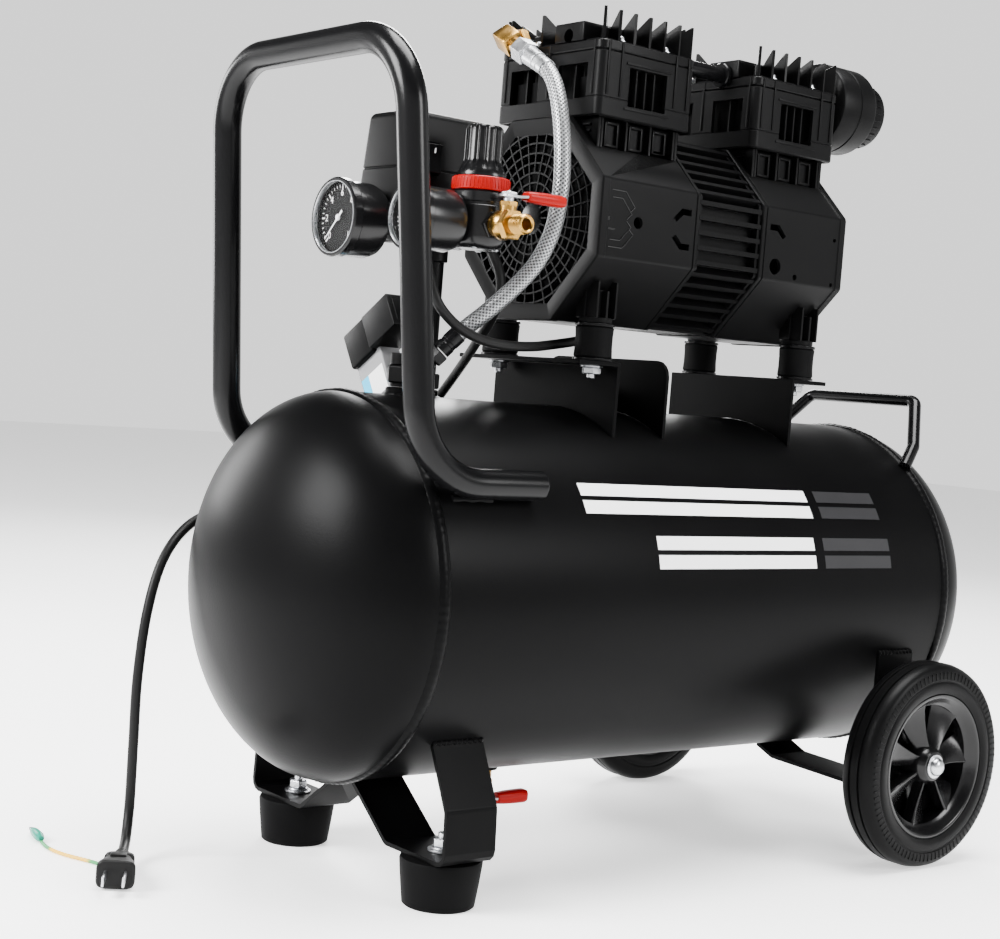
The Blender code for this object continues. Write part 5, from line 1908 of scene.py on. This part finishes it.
@dataclass
class Gauge(Assembly):
    """A round pressure gauge that faces -X, with its dial, glass and needle."""

    name: str = "tank"
    face: float = -0.263
    deep: float = 0.0322
    radius: float = 0.0262
    neck: float = 0.007
    neck_end: float = -0.2183
    centre: tuple[float, float] = (0.0, 0.441)
    marks: int = 7
    top_mark: int = 12

    def spin(self, x: float, turn: float = 0.0) -> Matrix:
        """A placement on the gauge's axis that faces the reader.

        Args:
            x: Place along the axis.
            turn: Angle clockwise from the top, in degrees, as the reader sees it.

        Returns:
            The placement, with its own +Y pointing outward along that angle.
        """
        face = Matrix(((0, 0, -1, x), (-1, 0, 0, self.centre[0]), (0, 1, 0, self.centre[1]),
                       (0, 0, 0, 1)))
        return face @ Matrix.Rotation(math.radians(-turn), 4, "Z")

    def build(self) -> None:
        """Make the case, the dial, the glass and the needle."""
        y, z = self.centre
        r, front = self.radius, -self.face
        axis = aimed((0, y, z), (-1, 0, 0))
        dial = front - 0.0062
        case = [(0, dial), (r - 0.003, dial), (r - 0.003, front - 0.0008), (r - 0.0024, front),
                (r - 0.0008, front), (r, front - 0.001), (r, front - 0.0064),
                (r - 0.0006, front - 0.0072), (r - 0.0014, front - 0.0078),
                (r - 0.0014, front - self.deep + 0.007), (r - 0.003, front - self.deep + 0.0025),
                (r - 0.007, front - self.deep), (self.neck, front - self.deep),
                (self.neck, -self.neck_end), (0, -self.neck_end)]
        form = Form().lathe(case, axis, 96)
        self.fit(form.piece(f"{self.name}_gauge_case", Paint.SMOOTH), [f"{self.name}_gauge"],
                 "black_alloy")
        bezel = [(r - 0.0031, front - 0.003), (r - 0.0031, front - 0.0004),
                 (r - 0.0028, front + 0.0001), (r - 0.0024, front + 0.0001),
                 (r - 0.0022, front - 0.0004), (r - 0.0026, front - 0.0012)]
        ring = Form().lathe(bezel, axis, 96, closed=True)
        self.fit(ring.piece(f"{self.name}_gauge_bezel", Paint.ZINC), (), "zinc")
        self.dial(self.face + 0.0062)
        glass = Form().lathe([(0, front - 0.0009), (r * 0.5, front - 0.001),
                              (r - 0.0032, front - 0.0016), (r - 0.0032, front - 0.0022),
                              (0, front - 0.0019)], axis, 72)
        pane = glass.piece(f"{self.name}_gauge_glass", Paint.WHITE)
        pane.data.materials[0] = clear_glass()
        self.fit(pane, ())
        self.needle(self.face + 0.004)

    def dial(self, x: float) -> None:
        """Make the printed face: ticks, numbers and the dial disc.

        Args:
            x: Place of the dial's surface.
        """
        reach = self.radius - 0.0042
        form = Form()
        steps = (self.marks - 1) * 5
        for i in range(steps + 1):
            turn = -135 + 270 * i / steps
            main = i % 5 == 0
            long, wide = (0.0034, 0.00048) if main else (0.0019, 0.00026)
            form.box((-wide, reach - long, 0.0), (wide, reach, 0.00012), self.spin(x, turn))
        form.use(1).lathe([(0, 0.0), (self.radius - 0.0031, 0.0), (self.radius - 0.0031, 0.00005),
                           (0, 0.00005)], self.spin(x), 72)
        self.fit(form.piece(f"{self.name}_gauge_dial", Paint.WHITE, Paint.DIAL), (), "needle_white")
        for i in range(self.marks):
            turn = -135 + 270 * i / (self.marks - 1)
            value = round(self.top_mark * i / (self.marks - 1))
            self.number(value, turn, x, reach - 0.0056, f"{self.name}_dial_number_{i}")

    def number(self, value: int, turn: float, x: float, out: float, name: str) -> None:
        """Make one upright number on the dial.

        Args:
            value: The number.
            turn: Its angle from the top, in degrees.
            x: Place of the dial's surface.
            out: Its distance from the middle.
            name: The piece's name.
        """
        text = bpy.data.curves.new(name, "FONT")
        text.body = str(value)
        text.size = self.radius * 0.25
        text.align_x, text.align_y = "CENTER", "CENTER"
        text.extrude = 0.00005
        text.resolution_u = 2
        maker = bpy.data.objects.new(name, text)
        bpy.context.scene.collection.objects.link(maker)
        bpy.context.view_layer.update()
        data = bpy.data.meshes.new_from_object(maker.evaluated_get(
            bpy.context.evaluated_depsgraph_get()))
        bpy.data.objects.remove(maker, do_unlink=True)
        angle = math.radians(turn)
        data.transform(self.spin(x - 0.00005) @ Matrix.Translation(
            (out * math.sin(angle), out * math.cos(angle), 0)))
        data.materials.clear()
        data.materials.append(Paint.WHITE.material)
        made = bpy.data.objects.new(name, data)
        bpy.context.scene.collection.objects.link(made)
        self.fit(made, (), "needle_white")

    def needle(self, x: float) -> None:
        """Make the pointer on its own body.

        Args:
            x: Place of the pointer along the axis.
        """
        reach = self.radius - 0.0062
        outline = [(-0.0009, -0.006), (0.0009, -0.006), (0.0006, 0.0), (0.0002, reach),
                   (-0.0002, reach), (-0.0006, 0.0)]
        form = Form().prism(outline, -0.00015, 0.00015, self.spin(x, -135))
        form.lathe([(0, -0.0005), (0.002, -0.0005), (0.0022, 0.0002), (0.0016, 0.0009),
                    (0, 0.0011)], self.spin(x), 32)
        self.fit(form.piece(f"{self.name}_pointer", Paint.WHITE), [f"{self.name}_gauge_needle"],
                 "needle_white", f"{self.name}_needle")


def clear_glass() -> bpy.types.Material:
    """Thin clear glass, made once.

    Returns:
        The material.
    """
    known = bpy.data.materials.get("gauge_glass")
    if known:
        return known
    sheet = NodeSheet("gauge_glass")
    smear = sheet.noise(60.0, 3.0)
    sheet.material.surface_render_method = "BLENDED"
    return sheet.finish(Base_Color=(0.02, 0.02, 0.02, 1.0), Roughness=0.03 + smear * 0.05,
                        Alpha=0.07 + smear * 0.03, Metallic=0.0, Specular_IOR_Level=0.3)


@dataclass
class Regulator(Assembly):
    """Regulator body with its red ring and fluted knob."""

    x: float = -0.189
    y: float = -0.06
    knob_z: float = 0.4736
    flutes: int = 12

    def build(self) -> None:
        """Make the body, the ring, the collar and the knob."""
        where = Matrix.Translation((self.x, self.y, 0))
        body = [(0, 0.4642), (0.0176, 0.4642), (0.0188, 0.463), (0.0188, 0.4572), (0.018, 0.4564),
                (0.018, 0.4552), (0.0186, 0.4544), (0.0186, 0.4348), (0.018, 0.4312),
                (0.0164, 0.4284), (0.0135, 0.4268), (0, 0.4266)]
        form = Form().lathe(body, where, 96)
        form.bar((self.x, self.y + 0.017, 0.4423), (self.x, self.y + 0.0188, 0.4423), 0.0098, 40)
        form.bar((self.x, self.y - 0.015, 0.4423), (self.x, self.y - 0.019, 0.4423), 0.0098, 6,
                 soft=0.0006)
        self.fit(form.piece("regulator_bowl", Paint.SMOOTH), ["regulator_body"], "black_alloy")
        bolts = Form()
        for i in range(4):
            turn = math.radians(45 + 90 * i)
            x, y = self.x + 0.0125 * math.cos(turn), self.y + 0.0125 * math.sin(turn)
            bolts.post((x, y), 0.4262, 0.43, 0.0022, 20, soft=0.0004)
        self.fit(bolts.piece("regulator_screws", Paint.ZINC), (), "zinc")
        ring = Form().lathe([(0.0112, 0.4733), (0.0184, 0.4733), (0.019, 0.4727), (0.019, 0.4651),
                             (0.0184, 0.4645), (0.0112, 0.4645)], where, 96, closed=True)
        for turn in turned(where, 48):
            ring.box((0.0186, -0.0004, 0.4656), (0.0193, 0.0004, 0.4722), turn, 0.0002)
        self.fit(ring.piece("red_lock_ring", Paint.RED), ["regulator_ring"], "red_plastic")
        self.knob()

    def knob(self) -> None:
        """Make the fluted knob on its own body."""
        where = Matrix.Translation((self.x, self.y, self.knob_z))
        rings = []
        profile = [(0.0165, 0.0, 0.0), (0.0165, 0.0022, 0.0), (0.015, 0.005, 0.2),
                   (0.013, 0.0095, 1.0), (0.0125, 0.012, 1.0), (0.0125, 0.03, 1.0),
                   (0.012, 0.0322, 0.7), (0.0106, 0.0337, 0.2)]
        for radius, lift, flute in profile:
            ring = []
            for turn in around(144):
                dip = 0.0013 * flute * max(0.0, math.cos(turn * self.flutes)) ** 0.6
                size = radius - dip
                ring.append(where @ Vector((size * math.cos(turn), size * math.sin(turn), lift)))
            rings.append(ring)
        form = Form().loops(rings, closed=False, caps=True)
        form.bar((self.x, self.y, self.knob_z - 0.0078), (self.x, self.y, self.knob_z + 0.001),
                 0.0098, 40)
        form.lathe([(0.007, 0.0334), (0.0082, 0.0334), (0.0082, 0.03375), (0.007, 0.03375)],
                   where, 48, closed=True)
        self.fit(form.piece("fluted_knob", Paint.SMOOTH, edge=FINE), ["regulator_knob"],
                 "black_plastic", "knob")


@dataclass
class Valves(Assembly):
    """Ball valve at the outlet and the drain valve, with their levers."""

    x: float = -0.189
    z: float = 0.4423
    drain_x: float = -0.1
    thread: float = 0.00135       # pitch of the outlet's thread

    def build(self) -> None:
        """Make both valves and both levers."""
        self.outlet()
        self.drain()
        self.lever("outlet", (self.x, -0.09, self.z + 0.0185), 0.007, 0.046, 0.0015, 0.004)
        self.lever("drain", (self.drain_x, 0.0, 0.0405), -0.013, 0.042, -0.00025, 0.0052)

    def outlet(self) -> None:
        """Make the brass valve body with its hexagon and threaded hollow nipple."""
        where = aimed((self.x, 0, self.z), (0, -1, 0))
        form = Form().bar((self.x, -0.0792, self.z), (self.x, -0.083, self.z), 0.0072, 40)
        form.lathe([(0, 0.0828), (0.0085, 0.0828), (0.0098, 0.085), (0.01, 0.088),
                    (0.0096, 0.0905), (0.0084, 0.0925), (0, 0.0925)], where, 56)
        form.bar((self.x, -0.0918, self.z), (self.x, -0.097, self.z), 0.0106, 6, soft=0.0009)
        line = [(0.0038, 0.098), (0.0038, 0.1102), (0.0046, 0.111), (0.0056, 0.111)]
        count = int(0.0115 / self.thread)
        for i in range(count):
            at = 0.11 - i * self.thread
            line += [(0.0065, at - self.thread * 0.25), (0.0065, at - self.thread * 0.4),
                     (0.0058, at - self.thread * 0.75), (0.0058, at - self.thread * 0.9)]
        line += [(0.0058, 0.0965), (0.0038, 0.0965)]
        form.lathe(line, where, 64, closed=True)
        form.lathe([(0.0038, 0.097), (0.0, 0.097), (0.0, 0.0985), (0.0038, 0.0985)], where, 40)
        form.post((self.x, -0.09), self.z + 0.007, self.z + 0.012, 0.0056, 40)
        form.post((self.x, -0.09), self.z + 0.0115, self.z + 0.015, 0.0062, 6, soft=0.0005)
        self.fit(form.piece("brass_outlet_valve", Paint.BRASS, edge=FINE), ["outlet_valve"],
                 "brass")

    def drain(self) -> None:
        """Make the drain valve's hexagon and spout."""
        x, top = self.drain_x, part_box("drain_valve")[1].z
        form = Form().post((x, 0), top - 0.0001, 0.056, 0.0066, 36)
        form.post((x, 0), 0.057, 0.0482, 0.008, 6, soft=0.0008)
        form.bar((x + 0.002, 0, 0.0488), (x - 0.019, 0, 0.044), 0.0048, 32, soft=0.0006)
        form.bar((x - 0.012, 0, 0.0456), (x - 0.0165, 0, 0.0446), 0.0056, 6, soft=0.0005)
        self.fit(form.piece("brass_drain_valve", Paint.BRASS, edge=FINE), ["drain_valve"],
                 "brass")

    def lever(self, name: str, pivot: Point, stem: float, end: float, lift: float,
              thick: float) -> None:
        """Make one lever: zinc arm and nut, and its dipped red sleeve.

        Args:
            name: Which valve it turns.
            pivot: Its pivot.
            stem: Length of its stem, down if above 0.
            end: Distance from the pivot to the sleeve's end.
            lift: Height of the sleeve above the pivot.
            thick: Half height of the sleeve.
        """
        x, y, z = pivot
        rise = 1 if stem > 0 else -1
        spin = Matrix.Translation(pivot)
        metal = Form().post((x, y), z - stem, z, 0.0034, 28)
        metal.post((x, y), z + rise * 0.0008, z + rise * 0.0026, 0.0056, 6, soft=0.0004)
        metal.post((x, y), z, z + rise * 0.0032, 0.0022, 20, soft=0.0004)
        rings = []
        for u, w, v in ((-0.0062, 0.003, 0.0), (-0.005, 0.005, 0.0), (0.006, 0.0052, 0.0),
                        (0.01, 0.0036, lift * 0.4), (0.02, 0.0034, lift)):
            rings.append([spin @ Vector((u, w * a, v + 0.0008 * b))
                          for a, b in ((-1, -1), (1, -1), (1, 1), (-1, 1))])
        metal.loops(rings, closed=False, caps=True)
        body = f"{name}_lever"
        self.fit(metal.piece(f"{name}_lever_arm", Paint.ZINC, edge=FINE), (), "zinc", body)
        start = 0.014
        rings = []
        for share, wide, tall in ((0.0, 0.72, 0.66), (0.03, 0.86, 0.8), (0.22, 0.94, 0.9),
                                  (0.45, 0.98, 0.96), (0.7, 1.0, 0.98), (0.9, 0.98, 0.98),
                                  (0.98, 0.84, 0.84), (1.0, 0.62, 0.62)):
            u = start + (end - start) * share
            rings.append([spin @ Vector((u, 0.0052 * wide * a, lift + thick * tall * b))
                          for a, b in squarish(20, 0.7)])
        form = Form().loops(rings, closed=False, caps=True)
        self.fit(form.piece(f"{name}_lever_sleeve", Paint.RED), [f"{name}_valve_lever"],
                 "red_plastic", body)


@dataclass
class Solenoid(Assembly):
    """Unloader solenoid on the tank's shoulder."""

    centre: tuple[float, float, float] = (-0.177, 0.0454, 0.3778)
    lean: float = -32.4

    def build(self) -> None:
        """Make its coil block, cap, base and plain label."""
        turn = Matrix.Translation(self.centre) @ Matrix.Rotation(math.radians(self.lean), 4, "X")
        form = Form().box((-0.013, -0.0168, -0.0127), (0.013, 0.0166, 0.0127), turn, 0.001)
        form.box((-0.009, -0.0172, -0.0085), (0.009, -0.016, 0.0085), turn, 0.0004)
        form.box((-0.011, 0.016, -0.0141), (0.011, 0.045, 0.0141), turn, 0.0022)
        form.box((-0.008, 0.024, 0.0138), (0.008, 0.038, 0.0148), turn, 0.0004)
        self.fit(form.piece("solenoid_coil", Paint.PLASTIC), ["unloader_solenoid"], "black_plastic")
        base = Form().box((-0.0068, 0.0127, -0.048), (0.0108, 0.0438, -0.012), turn, 0.0012)
        self.fit(base.piece("solenoid_base", Paint.HOUSING), (), "cast_alloy")
        label = Form().box((-0.00705, 0.015, -0.044), (-0.0069, 0.033, -0.025), turn)
        label.use(1).box((-0.00715, 0.033, -0.044), (-0.0069, 0.042, -0.025), turn)
        self.fit(label.piece("solenoid_plain_label", Paint.WHITE, Paint.LABEL_BLUE), ())


# ---- cords ---------------------------------------------------------------------------------
CORD_ROUTE = (
    (-0.1378, -0.012, 0.432), (-0.129, -0.0115, 0.4175), (-0.1235, -0.007, 0.402),
    (-0.121, 0.003, 0.387), (-0.118, 0.02, 0.372), (-0.112, 0.042, 0.356),
    (-0.108, 0.066, 0.337), (-0.111, 0.09, 0.311), (-0.124, 0.112, 0.281),
    (-0.15, 0.127, 0.257), (-0.185, 0.135, 0.243), (-0.222, 0.137, 0.237),
    (-0.258, 0.131, 0.233), (-0.288, 0.119, 0.223), (-0.311, 0.108, 0.201),
    (-0.324, 0.101, 0.166), (-0.33, 0.097, 0.122), (-0.3313, 0.0942, 0.08),
    (-0.3313, 0.0934, 0.0425), (-0.3336, 0.0898, 0.0265), (-0.3398, 0.0798, 0.0148),
    (-0.3483, 0.0663, 0.0106), (-0.3502, 0.0632, 0.0105),
)
GROUND_ROUTE = (
    (-0.3702, 0.0474, 0.006), (-0.3664, 0.0521, 0.0052), (-0.3622, 0.0595, 0.0032),
    (-0.3597, 0.0698, 0.0017), (-0.3612, 0.0809, 0.0014), (-0.3658, 0.0924, 0.0014),
    (-0.3703, 0.1039, 0.0014), (-0.3731, 0.1162, 0.0014), (-0.3735, 0.1286, 0.0014),
    (-0.3715, 0.1406, 0.0014),
)
MOTOR_CABLE_ROUTE = (
    (-0.205, -0.022, 0.4526), (-0.2052, -0.024, 0.435), (-0.2065, -0.033, 0.412),
    (-0.203, -0.04, 0.392), (-0.1909, -0.041, 0.38), (-0.176, -0.041, 0.3725),
    (-0.1573, -0.04, 0.368), (-0.1361, -0.039, 0.3668), (-0.113, -0.035, 0.368),
    (-0.092, -0.028, 0.3705), (-0.07, -0.024, 0.374), (-0.048, -0.022, 0.3785),
    (-0.033, -0.021, 0.3836),
)


@dataclass
class Cords(Assembly):
    """Mains cord with its plug, motor cable, and the earth wire with its clip."""

    cord: float = 0.0035
    wire: float = 0.00125
    plug_back: tuple[float, float, float] = (-0.3509, 0.0621, 0.0105)
    plug_aim: tuple[float, float, float] = (-0.53, -0.848, 0.0)

    def build(self) -> None:
        """Make every cord."""
        plug = self.plug()
        flexes = (("mains_flex", "mains_cord", CORD_ROUTE, "plug", "loose", plug),
                  ("motor_flex", "motor_cable", MOTOR_CABLE_ROUTE, "object", "hanging", []))
        for name, node, route, far_end, lay, on_it in flexes:
            line = flowing(route, 0.0035)
            form = Form().pipe(line, self.cord, 24)
            flex = self.fit(form.piece(name, Paint.SHEATH), [node], "cable_rubber")
            line_length(line)
        self.earth()
        line = flowing(HOSE_ROUTE, 0.004)
        line_length(line)

    def plug(self) -> list[bpy.types.Object]:
        """Make the two-pin plug with its ribbed sleeve.

        Returns:
            Its pieces.
        """
        turn = aimed(self.plug_back, self.plug_aim) @ Matrix.Rotation(math.radians(
            self.level_turn()), 4, "Z")
        relief = [(0.0, 0.0), (0.0044, 0.0), (0.0046, 0.0006)]
        for i in range(4):
            at = 0.0022 + i * 0.0042
            size = 0.0052 + 0.0003 * i
            relief += [(size - 0.0012, at - 0.0008), (size, at), (size, at + 0.0022),
                       (size - 0.0012, at + 0.0028)]
        relief += [(0.0058, 0.0196), (0.0062, 0.0205), (0.0, 0.0205)]
        form = Form().lathe(relief, turn, 40)
        rings = []
        for along, wide, tall in ((0.0195, 0.007, 0.006), (0.0205, 0.0098, 0.0076),
                                  (0.0245, 0.01, 0.0078), (0.0258, 0.0082, 0.007),
                                  (0.03, 0.0088, 0.0074), (0.039, 0.0112, 0.0086),
                                  (0.046, 0.0124, 0.0094), (0.0488, 0.0124, 0.0094),
                                  (0.0498, 0.0116, 0.0086), (0.05, 0.0106, 0.0076)):
            rings.append([turn @ Vector((a * wide, b * tall, along))
                          for a, b in squarish(40, 0.45)])
        form.loops(rings, closed=False, caps=True)
        form.box((-0.0052, -0.0096, 0.029), (0.0052, 0.0096, 0.036), turn, 0.0006)
        body = self.fit(form.piece("moulded_plug", Paint.SHEATH), ["plug"], "cable_rubber")
        pins = Form()
        for side in (-1, 1):
            pins.box((side * 0.00635 - 0.00075, -0.0032, 0.049),
                     (side * 0.00635 + 0.00075, 0.0032, 0.0668), turn, 0.0006)
        blades = self.fit(pins.piece("plug_blades", Paint.ZINC), (), "zinc")
        return [body, blades]

    def level_turn(self) -> float:
        """Turn about the plug's axis that brings its flat side level.

        Returns:
            The turn in degrees.
        """
        turn = aimed(self.plug_back, self.plug_aim)
        across = turn.to_3x3() @ Vector((1, 0, 0))
        up = turn.to_3x3() @ Vector((0, 1, 0))
        return math.degrees(math.atan2(-across.z, up.z))

    def earth(self) -> None:
        """Make the two-colour earth wire and its crocodile clip."""
        line = flowing(GROUND_ROUTE, 0.0016)
        form = Form().pipe(line, self.wire, 20)
        wire = form.piece("earth_lead", Paint.YELLOW)
        wire.data.materials[0] = earth_stripes()
        self.fit(wire, ["ground_wire"], "earth_wire")
        tail = Vector(GROUND_ROUTE[-1])
        aim = (tail - Vector(GROUND_ROUTE[-2])).normalized()
        lift = Vector((0, 0, 0.0022))
        rings = []
        turn = aimed(tail + lift, aim)
        for along, wide, tall in ((0.0004, 0.0017, 0.0016), (0.002, 0.0024, 0.0024),
                                  (0.006, 0.0032, 0.0034), (0.012, 0.0033, 0.0035),
                                  (0.016, 0.003, 0.0034), (0.02, 0.0026, 0.003),
                                  (0.0235, 0.0021, 0.0022), (0.024, 0.0014, 0.0014)):
            rings.append([turn @ Vector((wide * a, tall * b, along)) for a, b in squarish(28, 1)])
        clip = Form().loops(rings, closed=False, caps=True)
        boot = self.fit(clip.piece("clip_boot", Paint.CLIP), ["ground_clip"], "clip_green")
        jaws = Form()
        for side in (-1, 1):
            jaws.box((-0.0012, side * 0.0006 - 0.0003, 0.023), (0.0012, side * 0.0006 + 0.0003,
                                                                  0.0298), turn, 0.0002)
            for i in range(4):
                at = 0.025 + i * 0.0012
                jaws.box((-0.0012, -0.0004, at), (0.0012, 0.0004, at + 0.0004), turn)
        steel = self.fit(jaws.piece("clip_jaws", Paint.ZINC), (), "zinc")
        line_length(line)


def earth_stripes() -> bpy.types.Material:
    """Yellow sheath with a green stripe down one side.

    Returns:
        The material.
    """
    sheet = NodeSheet("earth_sheath")
    split = sheet.add("ShaderNodeSeparateXYZ", {}, {"Vector": sheet.place()}, "Y")
    wave = sheet.add("ShaderNodeMath", {"operation": "SINE"}, {0: split * 95.0 + 1.2})
    mask = wave.over(0.15, 0.25)
    colour = sheet.blend(mask, Paint.YELLOW.value.colour, Paint.GREEN.value.colour)
    sheet.bump(sheet.noise(900.0, 2.0), 0.00002)
    return sheet.finish(Base_Color=colour, Roughness=0.38 + mask * 0.04)


# ---- studio --------------------------------------------------------------------------------
@dataclass
class Studio:
    """Pale floor, soft light and the camera."""

    eye: tuple[float, float, float] = (-0.91574, -0.99829, 0.33834)
    right: tuple[float, float, float] = (0.77638, -0.62541, 0.07789)
    up: tuple[float, float, float] = (-0.03184, 0.0845, 0.99591)
    look: tuple[float, float, float] = (0.62945, 0.7757, -0.04569)
    lens: float = 64.85
    lights: list[tuple[str, Point, Point, float, float]] = field(default_factory=lambda: [
        ("key_soft_box", (-1.9, 0.35, 1.3), (-0.2, 0.0, 0.25), 0.9, 165.0),
        ("top_soft_box", (0.15, -0.2, 2.2), (0.0, 0.0, 0.35), 1.3, 170.0),
        ("side_soft_box", (0.9, -2.0, 1.2), (0.1, 0.0, 0.35), 0.8, 55.0),
        ("back_strip", (1.2, 1.6, 1.4), (0.1, 0.0, 0.4), 0.8, 60.0),
        ("rim_strip", (-0.55, 1.35, 0.6), (-0.2, 0.0, 0.35), 0.5, 12.0),
    ])

    def build(self) -> None:
        """Make the floor, the world, the lights and the camera."""
        bpy.ops.mesh.primitive_plane_add(size=14)
        floor = bpy.context.object
        floor.name = "studio_floor"
        sheet = NodeSheet("pale_floor")
        cloud = sheet.noise(1.5, 2.0)
        floor.data.materials.append(sheet.finish(
            Base_Color=sheet.blend(cloud, (0.86, 0.86, 0.86), (0.9, 0.9, 0.9)),
            Roughness=0.55, Emission_Color=(1.0, 1.0, 1.0, 1.0), Emission_Strength=0.85))
        world = bpy.data.worlds.new("white_studio")
        world.use_nodes = True
        self.sky(world)
        bpy.context.scene.world = world
        for name, where, target, size, power in self.lights:
            data = bpy.data.lights.new(name, "AREA")
            data.energy, data.size = power, size
            lamp = bpy.data.objects.new(name, data)
            lamp.matrix_world = aimed(where, Vector(where) - Vector(target))
            bpy.context.scene.collection.objects.link(lamp)
        self.camera()

    @staticmethod
    def sky(world: bpy.types.World) -> None:
        """A white wall all round under a dim ceiling.

        Args:
            world: The world that it colours.
        """
        sheet = NodeSheet("sky", world.node_tree)
        place = sheet.add("ShaderNodeTexCoord", {}, {}, "Generated")
        height = sheet.add("ShaderNodeSeparateXYZ", {}, {"Vector": place}, "Z")
        backdrop = world.node_tree.nodes["Background"]
        sheet.feed(backdrop.inputs["Color"], sheet.blend(height.over(0.35, 0.11), (1.0, 1.0, 1.0),
                                                         (0.05, 0.05, 0.05)))
        sheet.feed(backdrop.inputs["Strength"], 1.4)

    def camera(self) -> None:
        """Make the camera and use it."""
        data = bpy.data.cameras.new("studio_camera")
        data.lens = self.lens
        camera = bpy.data.objects.new("studio_camera", data)
        columns = zip(self.right, self.up, (-v for v in self.look), self.eye)
        camera.matrix_world = Matrix([[*row] for row in columns] + [[0, 0, 0, 1]])
        bpy.context.scene.collection.objects.link(camera)
        bpy.context.scene.camera = camera


def main() -> None:
    """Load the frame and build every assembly."""
    logging.basicConfig(level=logging.INFO, format="%(name)s: %(message)s")
    for spare in list(bpy.data.objects):
        bpy.data.objects.remove(spare, do_unlink=True)
    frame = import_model()
    Studio().build()
    assemblies: list[Assembly] = [
        DeliveryLine(frame), Cords(frame), Tank(frame), Handles(frame), Wheel(frame, -1),
        Wheel(frame, 1), Legs(frame), MotorMounts(frame), FanShroud(frame),
        FanShroud(frame, "rear", 1, 0.065, 0.157, 0.1115, feet=(0.138, 0.052)), Stator(frame),
        Pump(frame), Pump(frame, "rear", 0.1115), Intake(frame), Manifold(frame),
        SwitchBox(frame), Gauge(frame),
        Gauge(frame, "outlet", -0.247, 0.037, 0.022, 0.006, -0.2082, (-0.06, 0.4423)),
        Regulator(frame), Valves(frame), Solenoid(frame),
    ]
    for assembly in assemblies:
        assembly.build()
        LOG.info("%s is finished", type(assembly).__name__)
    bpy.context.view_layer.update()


if __name__ == "__main__":
    main()
